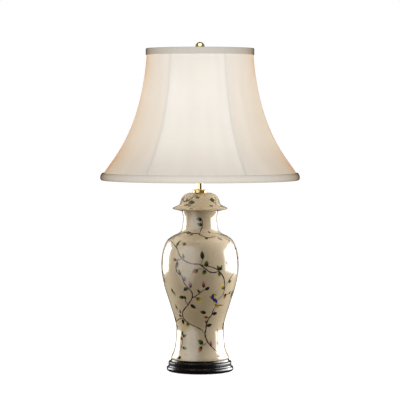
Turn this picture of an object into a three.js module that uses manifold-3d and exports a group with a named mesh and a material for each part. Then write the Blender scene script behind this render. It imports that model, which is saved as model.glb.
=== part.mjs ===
// A traditional table lamp: a glazed porcelain temple jar with a lid on a turned wooden base,
// and a six-panel bell shade held on a wire harp by a brass finial.
// Millimetres, +Z up. The origin is on the table, under the centre of the base.
// The front of the lamp faces -Y. Turn angles round the lamp are measured from -Y towards +X.

import * as THREE from "three";
import { mergeVertices } from "three/addons/utils/BufferGeometryUtils.js";
import Module from "manifold-3d";

const wasm = await Module();
wasm.setup();

// ---------------------------------------------------------------- driving dimensions

const GAP = 0.3; // between pieces that touch, and all round a shaft in its hole
const FINE = 30; // sides of the large round pieces
const MEDIUM = 20; // sides of the fittings
const COARSE = 12; // sides of pins and small holes

// base
const BASE_RADIUS = 78;
const BASE_TOP = 29;
const BASE_FOOT = 0.8; // the wood's rim clears the table, and the felt stands on it
const BAND_RADIUS = 73.4;
const BASE_TOP_RADIUS = 67.5;
const HOLLOW_RADIUS = 50;
const HOLLOW_TOP = 23;
const FELT_RADIUS = 70.3;
const FELT_THICKNESS = 1.7;
const CORD_HOLE_RADIUS = 4.3;
const CORD_HOLE_HEIGHT = 18.6;
const CORD_WAY_RADIUS = 3.2; // inside the bushing

// threaded pipe that holds everything together
const PIPE_RADIUS = 5;
const PIPE_BORE = 3.4;
const PIPE_BOTTOM = 8;
const PIPE_TOP = 458;
const PIPE_HOLE = PIPE_RADIUS + GAP;

// porcelain
const JAR_BOTTOM = BASE_TOP + GAP;
const JAR_TOP = 372;
const JAR_WALL = 5;
const JAR_FLOOR = 7;
const LID_BOTTOM = JAR_TOP + GAP;
const LID_TOP = 413;
const BRIM_RADIUS = 63.4;

// brass neck
const CHECK_RING_BOTTOM = LID_TOP + GAP;
const CHECK_RING_TOP = 421;
const CHECK_RING_RADIUS = 17.2;
const NECK_RADIUS = 7.2;
const NECK_TOP = 446;

// socket, for a bulb with a 26 mm screw base
const SADDLE_BOTTOM = NECK_TOP + GAP;
const SADDLE_THICKNESS = 1.6;
const SADDLE_RISE = 4; // from its middle to the seats of the harp's legs
const SADDLE_WIDTH = 12;
const CAP_BOTTOM = SADDLE_BOTTOM + SADDLE_THICKNESS + GAP;
const CAP_RADIUS = 18.6;
const CAP_TOP = 472;
const SHELL_RADIUS = 17.3;
const SHELL_BOTTOM = 467;
const SHELL_TOP = 508;
const SOCKET_FLOOR = 484;
const SCREW_SHELL_RADIUS = 14.3;
const SWITCH_HEIGHT = 475.5;
const SWITCH_SHAFT_RADIUS = 2;

// bulb
const BULB_BOTTOM = 486.3;
const BULB_BASE_RADIUS = 13.1;
const BULB_BASE_TOP = 514;
const BULB_RADIUS = 33;
const BULB_CENTRE = 586;
const BULB_NECK_RADIUS = 12;
const BULB_WALL = 1.2;

// harp
const HARP_WIRE = 2.2;
const HARP_LEG = 28; // from the lamp's axis to each leg's foot
const HARP_HALF_WIDTH = 57;
const HARP_TOP = 721;
const HARP_FOOT = SADDLE_BOTTOM + SADDLE_RISE + SADDLE_THICKNESS + 7.5;
const SLEEVE_LENGTH = 18;
const STUD_RADIUS = 3;
const STUD_TOP = 741.5;
const SHADE_SEAT = 727.7; // the shoulder that the shade's washer sits on

// shade
const SHADE_TOP = 745;
const SHADE_BOTTOM = 446;
const PANELS = 6;
const PANEL_ANGLE = (2 * Math.PI) / PANELS;
const SEAM_ANGLE = THREE.MathUtils.degToRad(27.4);
const SHADE_ROWS = 10; // rings of points down each skin and rib
const PANEL_FLATNESS = 0.6; // 0 is round between the ribs, 1 is straight from rib to rib
const ROUND_ZONE = 0.3; // part of the height over which each end turns round
const COVER_THICKNESS = 1;
const LINING_THICKNESS = 0.8;
const RIB_WIRE = 1.25;
const LEAN = 1.3; // a wire along the bell is this much wider towards the axis than across itself
const RING_WIRE = 1.8;
const SPIDER_WIRE = 1.6;
const SPIDER_ARMS = 3;

// finial
const FINIAL_RADIUS = 11.3;
const LAMP_HEIGHT = 762;

// ---------------------------------------------------------------- materials

function finish(colour, roughness, metalness = 0) {
  return new THREE.MeshStandardMaterial({ color: colour, roughness, metalness });
}

const materials = {
  felt: finish(0x2b4a34, 0.95),
  wood: finish(0x120e0c, 0.2),
  plastic: finish(0x181614, 0.45),
  porcelain: finish(0xd9ccb0, 0.12),
  brass: finish(0xd8b25a, 0.15, 1),
  steel: finish(0xa9a9a6, 0.4, 1),
  aluminium: finish(0xc9c9c6, 0.35, 1),
  paper: finish(0xb99a6b, 0.85),
  bulb: finish(0xfdf7e6, 0.3),
  glass: finish(0xe8efec, 0.05),
  silk: finish(0xefe4d6, 0.7),
  lining: finish(0xf7f2ea, 0.6),
  trim: finish(0xd8cfc2, 0.75),
};

// ---------------------------------------------------------------- shape helpers

function signedVolume(geometry) {
  const position = geometry.getAttribute("position");
  const index = geometry.index;
  const corners = [new THREE.Vector3(), new THREE.Vector3(), new THREE.Vector3()];
  let volume = 0;
  for (let i = 0; i < index.count; i += 3) {
    corners.forEach((corner, k) => corner.fromBufferAttribute(position, index.getX(i + k)));
    volume += corners[0].dot(corners[1].cross(corners[2])) / 6;
  }
  return volume;
}

// One closed body: shared vertices are merged, flattened triangles go, and its faces point out.
function closed(source) {
  const loose = source.clone();
  loose.deleteAttribute("normal");
  loose.deleteAttribute("uv");
  const merged = mergeVertices(loose, 1e-4);
  const kept = [];
  for (let i = 0; i < merged.index.count; i += 3) {
    const [a, b, c] = [0, 1, 2].map((k) => merged.index.getX(i + k));
    if (a !== b && b !== c && c !== a) kept.push(a, b, c);
  }
  merged.setIndex(kept);
  if (signedVolume(merged) < 0) {
    const flipped = [];
    for (let i = 0; i < kept.length; i += 3) {
      flipped.push(kept[i], kept[i + 2], kept[i + 1]);
    }
    merged.setIndex(flipped);
  }
  return merged;
}

function toSolid(geometry) {
  const body = closed(geometry);
  const vertProperties = Float32Array.from(body.getAttribute("position").array);
  const triVerts = Uint32Array.from(body.index.array);
  return new wasm.Manifold(new wasm.Mesh({ numProp: 3, vertProperties, triVerts }));
}

function fromSolid(solid) {
  const mesh = solid.getMesh();
  const geometry = new THREE.BufferGeometry();
  geometry.setAttribute("position", new THREE.BufferAttribute(mesh.vertProperties, 3));
  geometry.setIndex([...mesh.triVerts]);
  return geometry;
}

function cut(body, ...tools) {
  return fromSolid(tools.reduce((solid, tool) => solid.subtract(toSolid(tool)), toSolid(body)));
}

function join(...bodies) {
  const [first, ...others] = bodies.map(toSolid);
  return fromSolid(others.reduce((solid, other) => solid.add(other), first));
}

// A round piece turned about Z. The profile is a list of [radius, height]: it starts and ends
// on the axis, or it is closed here into a ring.
function turned(profile, sides = MEDIUM, startAngle = 0) {
  const points = profile.map(([radius, height]) => new THREE.Vector2(radius, height));
  const onAxis = points[0].x === 0 && points[points.length - 1].x === 0;
  if (!onAxis) points.push(points[0].clone());
  const lathe = new THREE.LatheGeometry(points, sides, startAngle);
  lathe.rotateX(Math.PI / 2);
  return lathe;
}

function tubeProfile(inner, outer, bottom, top) {
  return [[inner, bottom], [outer, bottom], [outer, top], [inner, top]];
}

function arcProfile(radius, height, size, fromDegrees, toDegrees, steps) {
  const points = [];
  for (let i = 0; i <= steps; i += 1) {
    const angle = THREE.MathUtils.degToRad(THREE.MathUtils.lerp(fromDegrees, toDegrees, i / steps));
    points.push([radius + size * Math.cos(angle), height + size * Math.sin(angle)]);
  }
  return points;
}

// Points along a smooth line through the given [radius, height] points.
function smoothProfile(through, pointsPerSpan) {
  const curve = new THREE.SplineCurve(through.map(([r, z]) => new THREE.Vector2(r, z)));
  return curve.getPoints((through.length - 1) * pointsPerSpan).map((p) => [p.x, p.y]);
}

// The same line moved sideways, towards the axis on a line that runs upwards.
function offsetProfile(profile, distance) {
  return profile.map(([radius, height], i) => {
    const [r0, z0] = profile[Math.max(i - 1, 0)];
    const [r1, z1] = profile[Math.min(i + 1, profile.length - 1)];
    const length = Math.hypot(r1 - r0, z1 - z0);
    return [radius - (distance * (z1 - z0)) / length, height + (distance * (r1 - r0)) / length];
  });
}

function wire(path, radius, sides, steps) {
  const section = new THREE.Shape();
  for (let i = 0; i < sides; i += 1) {
    const angle = (2 * Math.PI * i) / sides;
    const point = [radius * Math.cos(angle), radius * Math.sin(angle)];
    if (i === 0) section.moveTo(...point);
    else section.lineTo(...point);
  }
  section.closePath();
  return new THREE.ExtrudeGeometry(section, { steps, bevelEnabled: false, extrudePath: path });
}

// A straight round bar along X, Y or Z, from one place on that axis to another.
function bar(radius, axis, from, to, sides = COARSE) {
  const cylinder = new THREE.CylinderGeometry(radius, radius, to - from, sides);
  cylinder.translate(0, (from + to) / 2, 0);
  if (axis === "x") cylinder.rotateZ(-Math.PI / 2);
  if (axis === "z") cylinder.rotateX(Math.PI / 2);
  return cylinder;
}

function piece(parent, name, geometry, material) {
  const mesh = new THREE.Mesh(closed(geometry), material.clone());
  mesh.name = name;
  parent.add(mesh);
  return mesh;
}

// ---------------------------------------------------------------- base

function buildBase(lamp) {
  piece(
    lamp,
    "felt_pad",
    turned([[0, 0], [FELT_RADIUS, 0], [FELT_RADIUS, FELT_THICKNESS], [0, FELT_THICKNESS]], FINE),
    materials.felt,
  );

  const recess = FELT_THICKNESS + GAP;
  const roundSize = 6.2;
  const profile = [
    [PIPE_HOLE, HOLLOW_TOP],
    [HOLLOW_RADIUS, HOLLOW_TOP],
    [HOLLOW_RADIUS, recess],
    [FELT_RADIUS + GAP, recess],
    [FELT_RADIUS + GAP, BASE_FOOT],
    ...arcProfile(BASE_RADIUS - roundSize, BASE_FOOT + roundSize, roundSize, -80, 75, 8),
    [BAND_RADIUS, 14],
    [BAND_RADIUS, 23.4],
    [71.2, 24.4],
    [69.2, 26.2],
    [BASE_TOP_RADIUS, BASE_TOP],
    [PIPE_HOLE, BASE_TOP],
  ];
  const cordHole = bar(CORD_HOLE_RADIUS, "y", HOLLOW_RADIUS - 5, BASE_RADIUS + 5);
  cordHole.translate(0, 0, CORD_HOLE_HEIGHT);
  piece(lamp, "wood_base", cut(turned(profile, FINE), cordHole), materials.wood);

  const flange = BAND_RADIUS + 0.4;
  const bushing = turned([
    [CORD_WAY_RADIUS, HOLLOW_RADIUS + 2],
    [CORD_HOLE_RADIUS - GAP, HOLLOW_RADIUS + 2],
    [CORD_HOLE_RADIUS - GAP, flange],
    [5.1, flange],
    [4.7, flange + 1.5],
    [CORD_WAY_RADIUS, flange + 1.5],
  ], COARSE);
  bushing.rotateX(-Math.PI / 2);
  const gland = piece(lamp, "cord_bushing", bushing, materials.plastic);
  gland.position.z = CORD_HOLE_HEIGHT;

  const washerTop = HOLLOW_TOP - GAP;
  const washerThickness = 2;
  piece(
    lamp,
    "base_washer",
    turned(tubeProfile(PIPE_HOLE, 20, washerTop - washerThickness, washerTop)),
    materials.steel,
  );
  const nutTop = washerTop - washerThickness - GAP;
  const nut = bar(9.5, "z", nutTop - 6.5, nutTop, 6);
  piece(lamp, "base_nut", cut(nut, bar(PIPE_HOLE, "z", 0, HOLLOW_TOP)), materials.steel);
}

// ---------------------------------------------------------------- porcelain jar and lid

function buildPorcelain(lamp) {
  const outside = smoothProfile([
    [66.8, JAR_BOTTOM],
    [66.4, 36],
    [62.2, 45],
    [58.2, 58],
    [56, 84],
    [55.6, 103],
    [60.2, 125],
    [71.2, 160],
    [82, 195],
    [88.4, 228],
    [89.3, 253],
    [85.6, 281],
    [76.2, 303],
    [64, 313.5],
    [50, 320.3],
    [42.8, 328],
    [40.2, 340],
    [38.9, 356],
    [42, JAR_TOP],
  ], 1);
  const floor = JAR_BOTTOM + JAR_FLOOR;
  const inside = offsetProfile(outside, JAR_WALL)
    .filter(([, z], i) => i % 2 === 1 && z > floor + 4 && z < JAR_TOP - 4)
    .reverse();
  const jar = [
    ...outside,
    [42 - JAR_WALL, JAR_TOP],
    ...inside,
    [54, floor],
    [PIPE_HOLE, floor],
    [PIPE_HOLE, JAR_BOTTOM],
  ];
  piece(lamp, "jar", turned(jar, FINE), materials.porcelain);

  const dome = smoothProfile([
    [BRIM_RADIUS, 378.4],
    [57, 382],
    [49, 385.6],
    [46, 389.5],
    [44.6, 396],
    [41.6, 402.4],
    [36.6, 408.6],
    [28, LID_TOP],
  ], 1);
  const lipRadius = 33.2;
  const lipTop = 376;
  const lid = [
    [PIPE_HOLE, LID_TOP],
    ...dome.reverse(),
    [BRIM_RADIUS, 376.4],
    [61.6, 375],
    [46, LID_BOTTOM],
    [lipRadius, LID_BOTTOM],
    [lipRadius, LID_BOTTOM - 8],
    [lipRadius - 3.6, LID_BOTTOM - 8],
    [lipRadius - 2, lipTop],
    [40, 388],
    [38.5, 399],
    [31, 406],
    [PIPE_HOLE, 408],
  ];
  piece(lamp, "jar_lid", turned(lid, FINE), materials.porcelain);
}

// ---------------------------------------------------------------- pipe and brass neck

function buildNeck(lamp) {
  const pipe = turned(tubeProfile(PIPE_BORE, PIPE_RADIUS, PIPE_BOTTOM, PIPE_TOP), COARSE);
  piece(lamp, "threaded_pipe", pipe, materials.steel);

  const ring = [
    [PIPE_HOLE, CHECK_RING_BOTTOM],
    [15.6, CHECK_RING_BOTTOM],
    [16.2, CHECK_RING_TOP - 3],
    [CHECK_RING_RADIUS, CHECK_RING_TOP - 2],
    [CHECK_RING_RADIUS, CHECK_RING_TOP - 0.8],
    [CHECK_RING_RADIUS - 0.8, CHECK_RING_TOP],
    [PIPE_HOLE, CHECK_RING_TOP],
  ];
  piece(lamp, "check_ring", turned(ring), materials.brass);

  const neck = tubeProfile(PIPE_HOLE, NECK_RADIUS, CHECK_RING_TOP + GAP, NECK_TOP);
  piece(lamp, "neck_tube", turned(neck), materials.brass);
}

// The harp's lower half: a strip with a hole for the pipe, and a post under each leg.
function buildSaddle(lamp) {
  const seat = SADDLE_BOTTOM + SADDLE_RISE;
  const underside = [[0, SADDLE_BOTTOM], [12, SADDLE_BOTTOM], [22, seat], [33, seat]];
  const right = underside.map(([x, z]) => new THREE.Vector2(x, z));
  const rightTop = underside.map(([x, z]) => new THREE.Vector2(x, z + SADDLE_THICKNESS)).reverse();
  const mirrored = (points) => points.map((p) => new THREE.Vector2(-p.x, p.y)).reverse();
  const outline = [...right, ...rightTop, ...mirrored(rightTop), ...mirrored(right)];
  const strip = new THREE.ExtrudeGeometry(new THREE.Shape(outline), {
    depth: SADDLE_WIDTH,
    bevelEnabled: false,
  });
  strip.rotateX(Math.PI / 2);
  strip.translate(0, SADDLE_WIDTH / 2, 0);

  const posts = [-HARP_LEG, HARP_LEG].map((x) => {
    const post = bar(HARP_WIRE, "z", seat + SADDLE_THICKNESS / 2, HARP_FOOT - GAP, COARSE);
    return post.translate(x, 0, 0);
  });
  const pipeHole = bar(PIPE_HOLE, "z", SADDLE_BOTTOM - 5, CAP_TOP, COARSE);
  piece(lamp, "harp_saddle", cut(join(strip, ...posts), pipeHole), materials.brass);
}

// ---------------------------------------------------------------- socket

function buildSocket(lamp) {
  const cap = [
    [PIPE_HOLE, CAP_BOTTOM],
    [8, CAP_BOTTOM],
    [8, 455.5],
    [13.5, 458.5],
    [17.4, 463.5],
    [CAP_RADIUS, 467],
    [CAP_RADIUS, CAP_TOP],
    [SHELL_RADIUS + GAP, CAP_TOP],
    [SHELL_RADIUS + GAP, 466.5],
    [12.6, 460.5],
    [PIPE_HOLE, 458.5],
  ];
  piece(lamp, "socket_cap", turned(cap), materials.brass);

  const shaftHole = bar(SWITCH_SHAFT_RADIUS + 2 * GAP, "y", -CAP_RADIUS - 5, -5, COARSE);
  shaftHole.translate(0, 0, SWITCH_HEIGHT);

  const shellInner = SHELL_RADIUS - 0.7;
  const flareBottom = SHELL_TOP - 5; // the shell's mouth is a little wider above this height
  const shell = [
    [shellInner, SHELL_BOTTOM],
    [SHELL_RADIUS, SHELL_BOTTOM],
    [SHELL_RADIUS, flareBottom],
    [SHELL_RADIUS + 1, flareBottom + 2],
    [SHELL_RADIUS + 1, SHELL_TOP],
    [SHELL_RADIUS, SHELL_TOP],
    [shellInner, flareBottom],
  ];
  piece(lamp, "socket_shell", cut(turned(shell), shaftHole), materials.brass);

  const paperOuter = shellInner - GAP;
  const paper = turned(tubeProfile(paperOuter - 0.8, paperOuter, SHELL_BOTTOM + 1, flareBottom));
  piece(lamp, "insulating_sleeve", cut(paper, shaftHole), materials.paper);

  const flange = 15;
  const waist = 12;
  const bodyBottom = SOCKET_FLOOR - 21;
  const body = turned([
    [0, bodyBottom],
    [waist, bodyBottom],
    [waist, SOCKET_FLOOR - 4],
    [flange, SOCKET_FLOOR - 4],
    [flange, SOCKET_FLOOR],
    [0, SOCKET_FLOOR],
  ]);
  piece(lamp, "socket_body", cut(body, shaftHole), materials.plastic);

  const threadBottom = SOCKET_FLOOR + GAP;
  const screwShell = tubeProfile(
    SCREW_SHELL_RADIUS - 0.8, SCREW_SHELL_RADIUS, threadBottom, flareBottom,
  );
  piece(lamp, "socket_screw_shell", turned(screwShell), materials.aluminium);
  piece(lamp, "socket_contact", bar(4, "z", threadBottom, threadBottom + 1.4), materials.brass);

  const screwHeight = bodyBottom + 10;
  for (const [name, side] of [["terminal_screw_left", -1], ["terminal_screw_right", 1]]) {
    const screw = piece(lamp, name, bar(2.8, "x", 0, 2.2), materials.brass);
    screw.position.set(side * (waist + GAP), 0, screwHeight);
    screw.rotation.z = side < 0 ? Math.PI : 0;
  }

  const knobBack = -CAP_RADIUS - 2;
  const knobFront = knobBack - 13;
  const shaft = piece(
    lamp,
    "switch_shaft",
    bar(SWITCH_SHAFT_RADIUS, "y", knobBack + GAP, -5 - GAP),
    materials.brass,
  );
  shaft.position.z = SWITCH_HEIGHT;
  const knobProfile = [
    [0, knobFront],
    [4.6, knobFront],
    [5.4, knobFront + 1],
    [6.4, knobBack - 2],
    [6.4, knobBack],
    [0, knobBack],
  ];
  const knobShape = turned(knobProfile.map(([r, y]) => [r, -y]), COARSE);
  knobShape.rotateX(Math.PI / 2);
  const knob = piece(lamp, "switch_knob", knobShape, materials.plastic);
  knob.position.z = SWITCH_HEIGHT;
}

// ---------------------------------------------------------------- bulb

function buildBulb(lamp) {
  const contactTop = BULB_BOTTOM + 1.6;
  piece(lamp, "bulb_contact", bar(4.2, "z", BULB_BOTTOM, contactTop), materials.aluminium);

  const insulatorBottom = contactTop + GAP;
  const insulatorTop = insulatorBottom + 3.2;
  piece(
    lamp,
    "bulb_insulator",
    turned([[0, insulatorBottom], [5, insulatorBottom], [11.6, insulatorTop], [0, insulatorTop]]),
    materials.plastic,
  );
  const base = tubeProfile(
    BULB_NECK_RADIUS + GAP, BULB_BASE_RADIUS, insulatorTop + GAP, BULB_BASE_TOP,
  );
  piece(lamp, "bulb_screw_base", turned(base), materials.aluminium);

  const neckBottom = 500;
  const neck = smoothProfile([
    [BULB_NECK_RADIUS, neckBottom],
    [BULB_NECK_RADIUS, BULB_BASE_TOP],
    [15, 527],
    [21.5, 545],
    [29.5, 564],
    [BULB_RADIUS, BULB_CENTRE],
  ], 1);
  const globe = arcProfile(0, BULB_CENTRE, BULB_RADIUS, 15, 75, 4);
  const outside = [...neck, ...globe];
  const inside = offsetProfile(outside, BULB_WALL).reverse();
  inside[inside.length - 1][1] = neckBottom;
  const topOutside = [0, BULB_CENTRE + BULB_RADIUS];
  const topInside = [0, BULB_CENTRE + BULB_RADIUS - BULB_WALL];
  // the profile runs from the axis at the top inside, down, round the neck's lip and up again
  const glass = turned([topInside, ...inside, ...outside, topOutside], MEDIUM);
  piece(lamp, "bulb_glass", glass, materials.bulb);

  const stemTop = 552;
  const stem = [[0, neckBottom + 1], [9, neckBottom + 1], [4, 512], [2.4, stemTop], [0, stemTop]];
  piece(lamp, "bulb_stem", turned(stem, COARSE), materials.glass);
  const supports = new THREE.CatmullRomCurve3([
    new THREE.Vector3(-14, 0, 570),
    new THREE.Vector3(-7, 0, 560),
    new THREE.Vector3(0, 0, stemTop + 2),
    new THREE.Vector3(7, 0, 560),
    new THREE.Vector3(14, 0, 570),
  ]);
  piece(lamp, "bulb_filament", wire(supports, 0.8, 6, 10), materials.steel);
}

// ---------------------------------------------------------------- harp

function buildHarp(lamp) {
  const at = (x, z) => new THREE.Vector3(x, 0, z);
  const straightTop = 484;
  const widest = 605;
  const flatTop = 10;
  const side = (s) => ({
    leg: new THREE.LineCurve3(at(s * HARP_LEG, HARP_FOOT), at(s * HARP_LEG, straightTop)),
    flare: [at(s * HARP_LEG, straightTop), at(s * HARP_LEG, 520), at(s * HARP_HALF_WIDTH, 548)],
    widest: at(s * HARP_HALF_WIDTH, widest),
    shoulder: [at(s * HARP_HALF_WIDTH, 672), at(s * 42, HARP_TOP), at(s * flatTop, HARP_TOP)],
  });
  const left = side(-1);
  const right = side(1);
  const path = new THREE.CurvePath();
  path.add(left.leg);
  path.add(new THREE.CubicBezierCurve3(...left.flare, left.widest));
  path.add(new THREE.CubicBezierCurve3(left.widest, ...left.shoulder));
  path.add(new THREE.LineCurve3(left.shoulder[2], right.shoulder[2]));
  path.add(new THREE.CubicBezierCurve3(...right.shoulder.slice().reverse(), right.widest));
  path.add(new THREE.CubicBezierCurve3(right.widest, ...right.flare.slice().reverse()));
  path.add(new THREE.LineCurve3(right.leg.v2, right.leg.v1));
  const loop = wire(path, HARP_WIRE, 8, 48);

  const plateHalf = HARP_WIRE + 0.2;
  const plate = bar(8.5, "z", HARP_TOP - plateHalf, HARP_TOP + plateHalf, MEDIUM);
  const rivetHole = bar(2.8, "z", HARP_TOP - 10, HARP_TOP + 10, COARSE);
  piece(lamp, "harp", cut(join(loop, plate), rivetHole), materials.brass);

  const rivet = 2.3;
  const headRadius = 4.6;
  const headTop = HARP_TOP - plateHalf - GAP;
  const shoulderRadius = 6.5;
  const shoulderBottom = HARP_TOP + plateHalf + GAP;
  piece(
    lamp,
    "harp_stud",
    turned([
      [0, headTop - 2.6],
      [headRadius, headTop - 2.6],
      [headRadius, headTop],
      [rivet, headTop],
      [rivet, shoulderBottom],
      [shoulderRadius, shoulderBottom],
      [shoulderRadius, SHADE_SEAT],
      [STUD_RADIUS, SHADE_SEAT],
      [STUD_RADIUS, STUD_TOP - 0.6],
      [STUD_RADIUS - 0.6, STUD_TOP],
      [0, STUD_TOP],
    ], COARSE),
    materials.brass,
  );

  const sleeveBottom = SADDLE_BOTTOM + SADDLE_RISE + SADDLE_THICKNESS + GAP;
  const sleeveBore = HARP_WIRE + 2 * GAP;
  const sleeveRadius = 3.9;
  const sleeve = [
    [sleeveBore, 0],
    [sleeveRadius, 0],
    [sleeveRadius, SLEEVE_LENGTH - 3],
    [sleeveRadius - 0.6, SLEEVE_LENGTH],
    [sleeveBore, SLEEVE_LENGTH],
  ];
  for (const [name, x] of [["harp_sleeve_left", -HARP_LEG], ["harp_sleeve_right", HARP_LEG]]) {
    const ferrule = piece(lamp, name, turned(sleeve, COARSE), materials.brass);
    ferrule.position.set(x, 0, sleeveBottom);
  }
}

// ---------------------------------------------------------------- shade

// The bell's outline down a rib, as points whose x is the radius and y is the height.
const bell = new THREE.CubicBezierCurve(
  new THREE.Vector2(122.2, SHADE_TOP),
  new THREE.Vector2(135.8, 530.8),
  new THREE.Vector2(219.1, 483.2),
  new THREE.Vector2(228, SHADE_BOTTOM),
);

// How far a panel's middle is drawn in, as a part of the way from round to straight.
function flatness(height) {
  const fraction = (height - SHADE_BOTTOM) / (SHADE_TOP - SHADE_BOTTOM);
  const fromEnd = Math.min(fraction, 1 - fraction) / ROUND_ZONE;
  return PANEL_FLATNESS * THREE.MathUtils.smoothstep(fromEnd, 0, 1);
}

function panelRadius(ribRadius, height, angle) {
  const half = PANEL_ANGLE / 2;
  const fromSeam = THREE.MathUtils.euclideanModulo(angle - SEAM_ANGLE, PANEL_ANGLE);
  const straight = (ribRadius * Math.cos(half)) / Math.cos(fromSeam - half);
  return THREE.MathUtils.lerp(ribRadius, straight, flatness(height));
}

function around(radius, angle, height) {
  return [radius * Math.sin(angle), -radius * Math.cos(angle), height];
}

// A thin skin that follows the bell, between two depths inside its outline.
function bellSkin(depth, thickness, from, to, rows) {
  const vertices = [];
  const index = [];
  const layers = [depth, depth + thickness];
  for (const layer of layers) {
    for (let row = 0; row <= rows; row += 1) {
      const at = bell.getPoint(THREE.MathUtils.lerp(from, to, row / rows));
      for (let k = 0; k < FINE; k += 1) {
        const angle = SEAM_ANGLE + (2 * Math.PI * k) / FINE;
        vertices.push(...around(panelRadius(at.x, at.y, angle) - layer, angle, at.y));
      }
    }
  }
  const id = (layer, row, k) => (layer * (rows + 1) + row) * FINE + (k % FINE);
  const quad = (a, b, c, d) => index.push(a, b, c, a, c, d);
  for (let k = 0; k < FINE; k += 1) {
    for (let row = 0; row < rows; row += 1) {
      quad(id(0, row, k), id(0, row + 1, k), id(0, row + 1, k + 1), id(0, row, k + 1));
      quad(id(1, row, k), id(1, row, k + 1), id(1, row + 1, k + 1), id(1, row + 1, k));
    }
    quad(id(0, 0, k), id(0, 0, k + 1), id(1, 0, k + 1), id(1, 0, k));
    quad(id(0, rows, k), id(1, rows, k), id(1, rows, k + 1), id(0, rows, k + 1));
  }
  const geometry = new THREE.BufferGeometry();
  geometry.setAttribute("position", new THREE.BufferAttribute(new Float32Array(vertices), 3));
  geometry.setIndex(index);
  return geometry;
}

function ringWire(radius, height) {
  const section = arcProfile(radius, height, RING_WIRE, 0, 300, 5);
  return turned(section, FINE, SEAM_ANGLE);
}

function buildShade(lamp) {
  const shade = new THREE.Group();
  lamp.add(shade);

  piece(shade, "shade_cover", bellSkin(0, COVER_THICKNESS, 0, 1, SHADE_ROWS), materials.silk);
  const ribRoom = RIB_WIRE * LEAN; // half the room that a rib takes towards the axis
  const ribDepth = COVER_THICKNESS + ribRoom + 2 * GAP;
  const liningDepth = ribDepth + ribRoom + 2 * GAP;
  const lining = bellSkin(liningDepth, LINING_THICKNESS, 0.008, 0.94, SHADE_ROWS);
  piece(shade, "shade_lining", lining, materials.lining);

  const topRingRadius = 118.9;
  const topRingHeight = SHADE_TOP - 2.4;
  const bottomRing = ringWire(223.6, SHADE_BOTTOM + 2.6);
  piece(shade, "shade_top_ring", ringWire(topRingRadius, topRingHeight), materials.steel);
  piece(shade, "shade_bottom_ring", bottomRing, materials.steel);

  const ribStart = 0.012;
  const ribEnd = 0.93;
  for (let i = 0; i < PANELS; i += 1) {
    const points = [];
    for (let k = 0; k <= SHADE_ROWS; k += 1) {
      const at = bell.getPoint(THREE.MathUtils.lerp(ribStart, ribEnd, k / SHADE_ROWS));
      points.push(new THREE.Vector3(0, -(at.x - ribDepth), at.y));
    }
    const shape = wire(new THREE.CatmullRomCurve3(points), RIB_WIRE, 6, SHADE_ROWS);
    const rib = piece(shade, `shade_rib_${i + 1}`, shape, materials.steel);
    rib.rotation.z = SEAM_ANGLE + i * PANEL_ANGLE;
  }

  const topTrim = [
    [124, 731.6],
    [124.8, 731.6],
    [125.2, 733],
    [125.2, 745.6],
    [124.2, 747],
    [121, 747],
    [121, SHADE_TOP + GAP],
    [124, SHADE_TOP + GAP],
  ];
  piece(shade, "shade_top_trim", turned(topTrim, FINE, SEAM_ANGLE), materials.trim);

  const trimBottom = 443;
  const bottomTrim = [
    [224.6, SHADE_BOTTOM - GAP],
    [228.6, SHADE_BOTTOM - GAP],
    [227.6, 451.4],
    [224.4, 459.8],
    [226.6, 459.2],
    [229.3, 455.6],
    [230.5, 450.6],
    [230.4, 446.8],
    [229, 444],
    [227, trimBottom],
    [224.6, trimBottom],
  ];
  piece(shade, "shade_bottom_trim", turned(bottomTrim, FINE, SEAM_ANGLE), materials.trim);

  buildSpider(shade, topRingRadius - RING_WIRE - GAP, topRingHeight);
}

// A washer on three arms, which hangs the shade from the harp's stud.
function buildSpider(shade, armEnd, armEndHeight) {
  const washerBottom = SHADE_SEAT + GAP;
  const washerTop = washerBottom + 1.6;
  const washerRadius = 12;
  const middle = (washerBottom + washerTop) / 2;
  const washer = bar(washerRadius, "z", washerBottom, washerTop, MEDIUM);
  const studHole = bar(STUD_RADIUS + 2 * GAP, "z", washerBottom - 5, washerTop + 5, MEDIUM);
  const arms = [];
  for (let i = 0; i < SPIDER_ARMS; i += 1) {
    const reach = new THREE.CubicBezierCurve3(
      new THREE.Vector3(0, -washerRadius + 3, middle),
      new THREE.Vector3(0, -40, middle),
      new THREE.Vector3(0, -70, armEndHeight),
      new THREE.Vector3(0, -armEnd, armEndHeight),
    );
    const arm = wire(reach, SPIDER_WIRE, 6, 8);
    arms.push(arm.rotateZ(SEAM_ANGLE + (2 * Math.PI * i) / SPIDER_ARMS));
  }
  piece(shade, "shade_spider", cut(join(washer, ...arms), studHole), materials.brass);
}

// ---------------------------------------------------------------- finial

function buildFinial(lamp) {
  const bore = STUD_RADIUS + GAP;
  const footBottom = SHADE_SEAT + GAP + 1.6 + GAP;
  const ballCentre = LAMP_HEIGHT - FINIAL_RADIUS;
  const neckRadius = 5.4;
  const ballFlat = ballCentre - Math.sqrt(FINIAL_RADIUS ** 2 - neckRadius ** 2);
  const foot = [
    [bore, footBottom],
    [7.6, footBottom],
    [7.6, footBottom + 2],
    [5, footBottom + 4],
    [4.6, footBottom + 7],
    [neckRadius, ballFlat - GAP],
    [bore, ballFlat - GAP],
  ];
  piece(lamp, "finial_base", turned(foot), materials.brass);

  const flatAngle = THREE.MathUtils.radToDeg(Math.asin((ballFlat - ballCentre) / FINIAL_RADIUS));
  const round = arcProfile(0, ballCentre, FINIAL_RADIUS, flatAngle, 75, 7);
  const boreTop = STUD_TOP + 1;
  const ball = [[0, boreTop], [bore, boreTop], [bore, ballFlat], ...round, [0, LAMP_HEIGHT]];
  piece(lamp, "finial_ball", turned(ball), materials.brass);
}

// ---------------------------------------------------------------- the lamp

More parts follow.
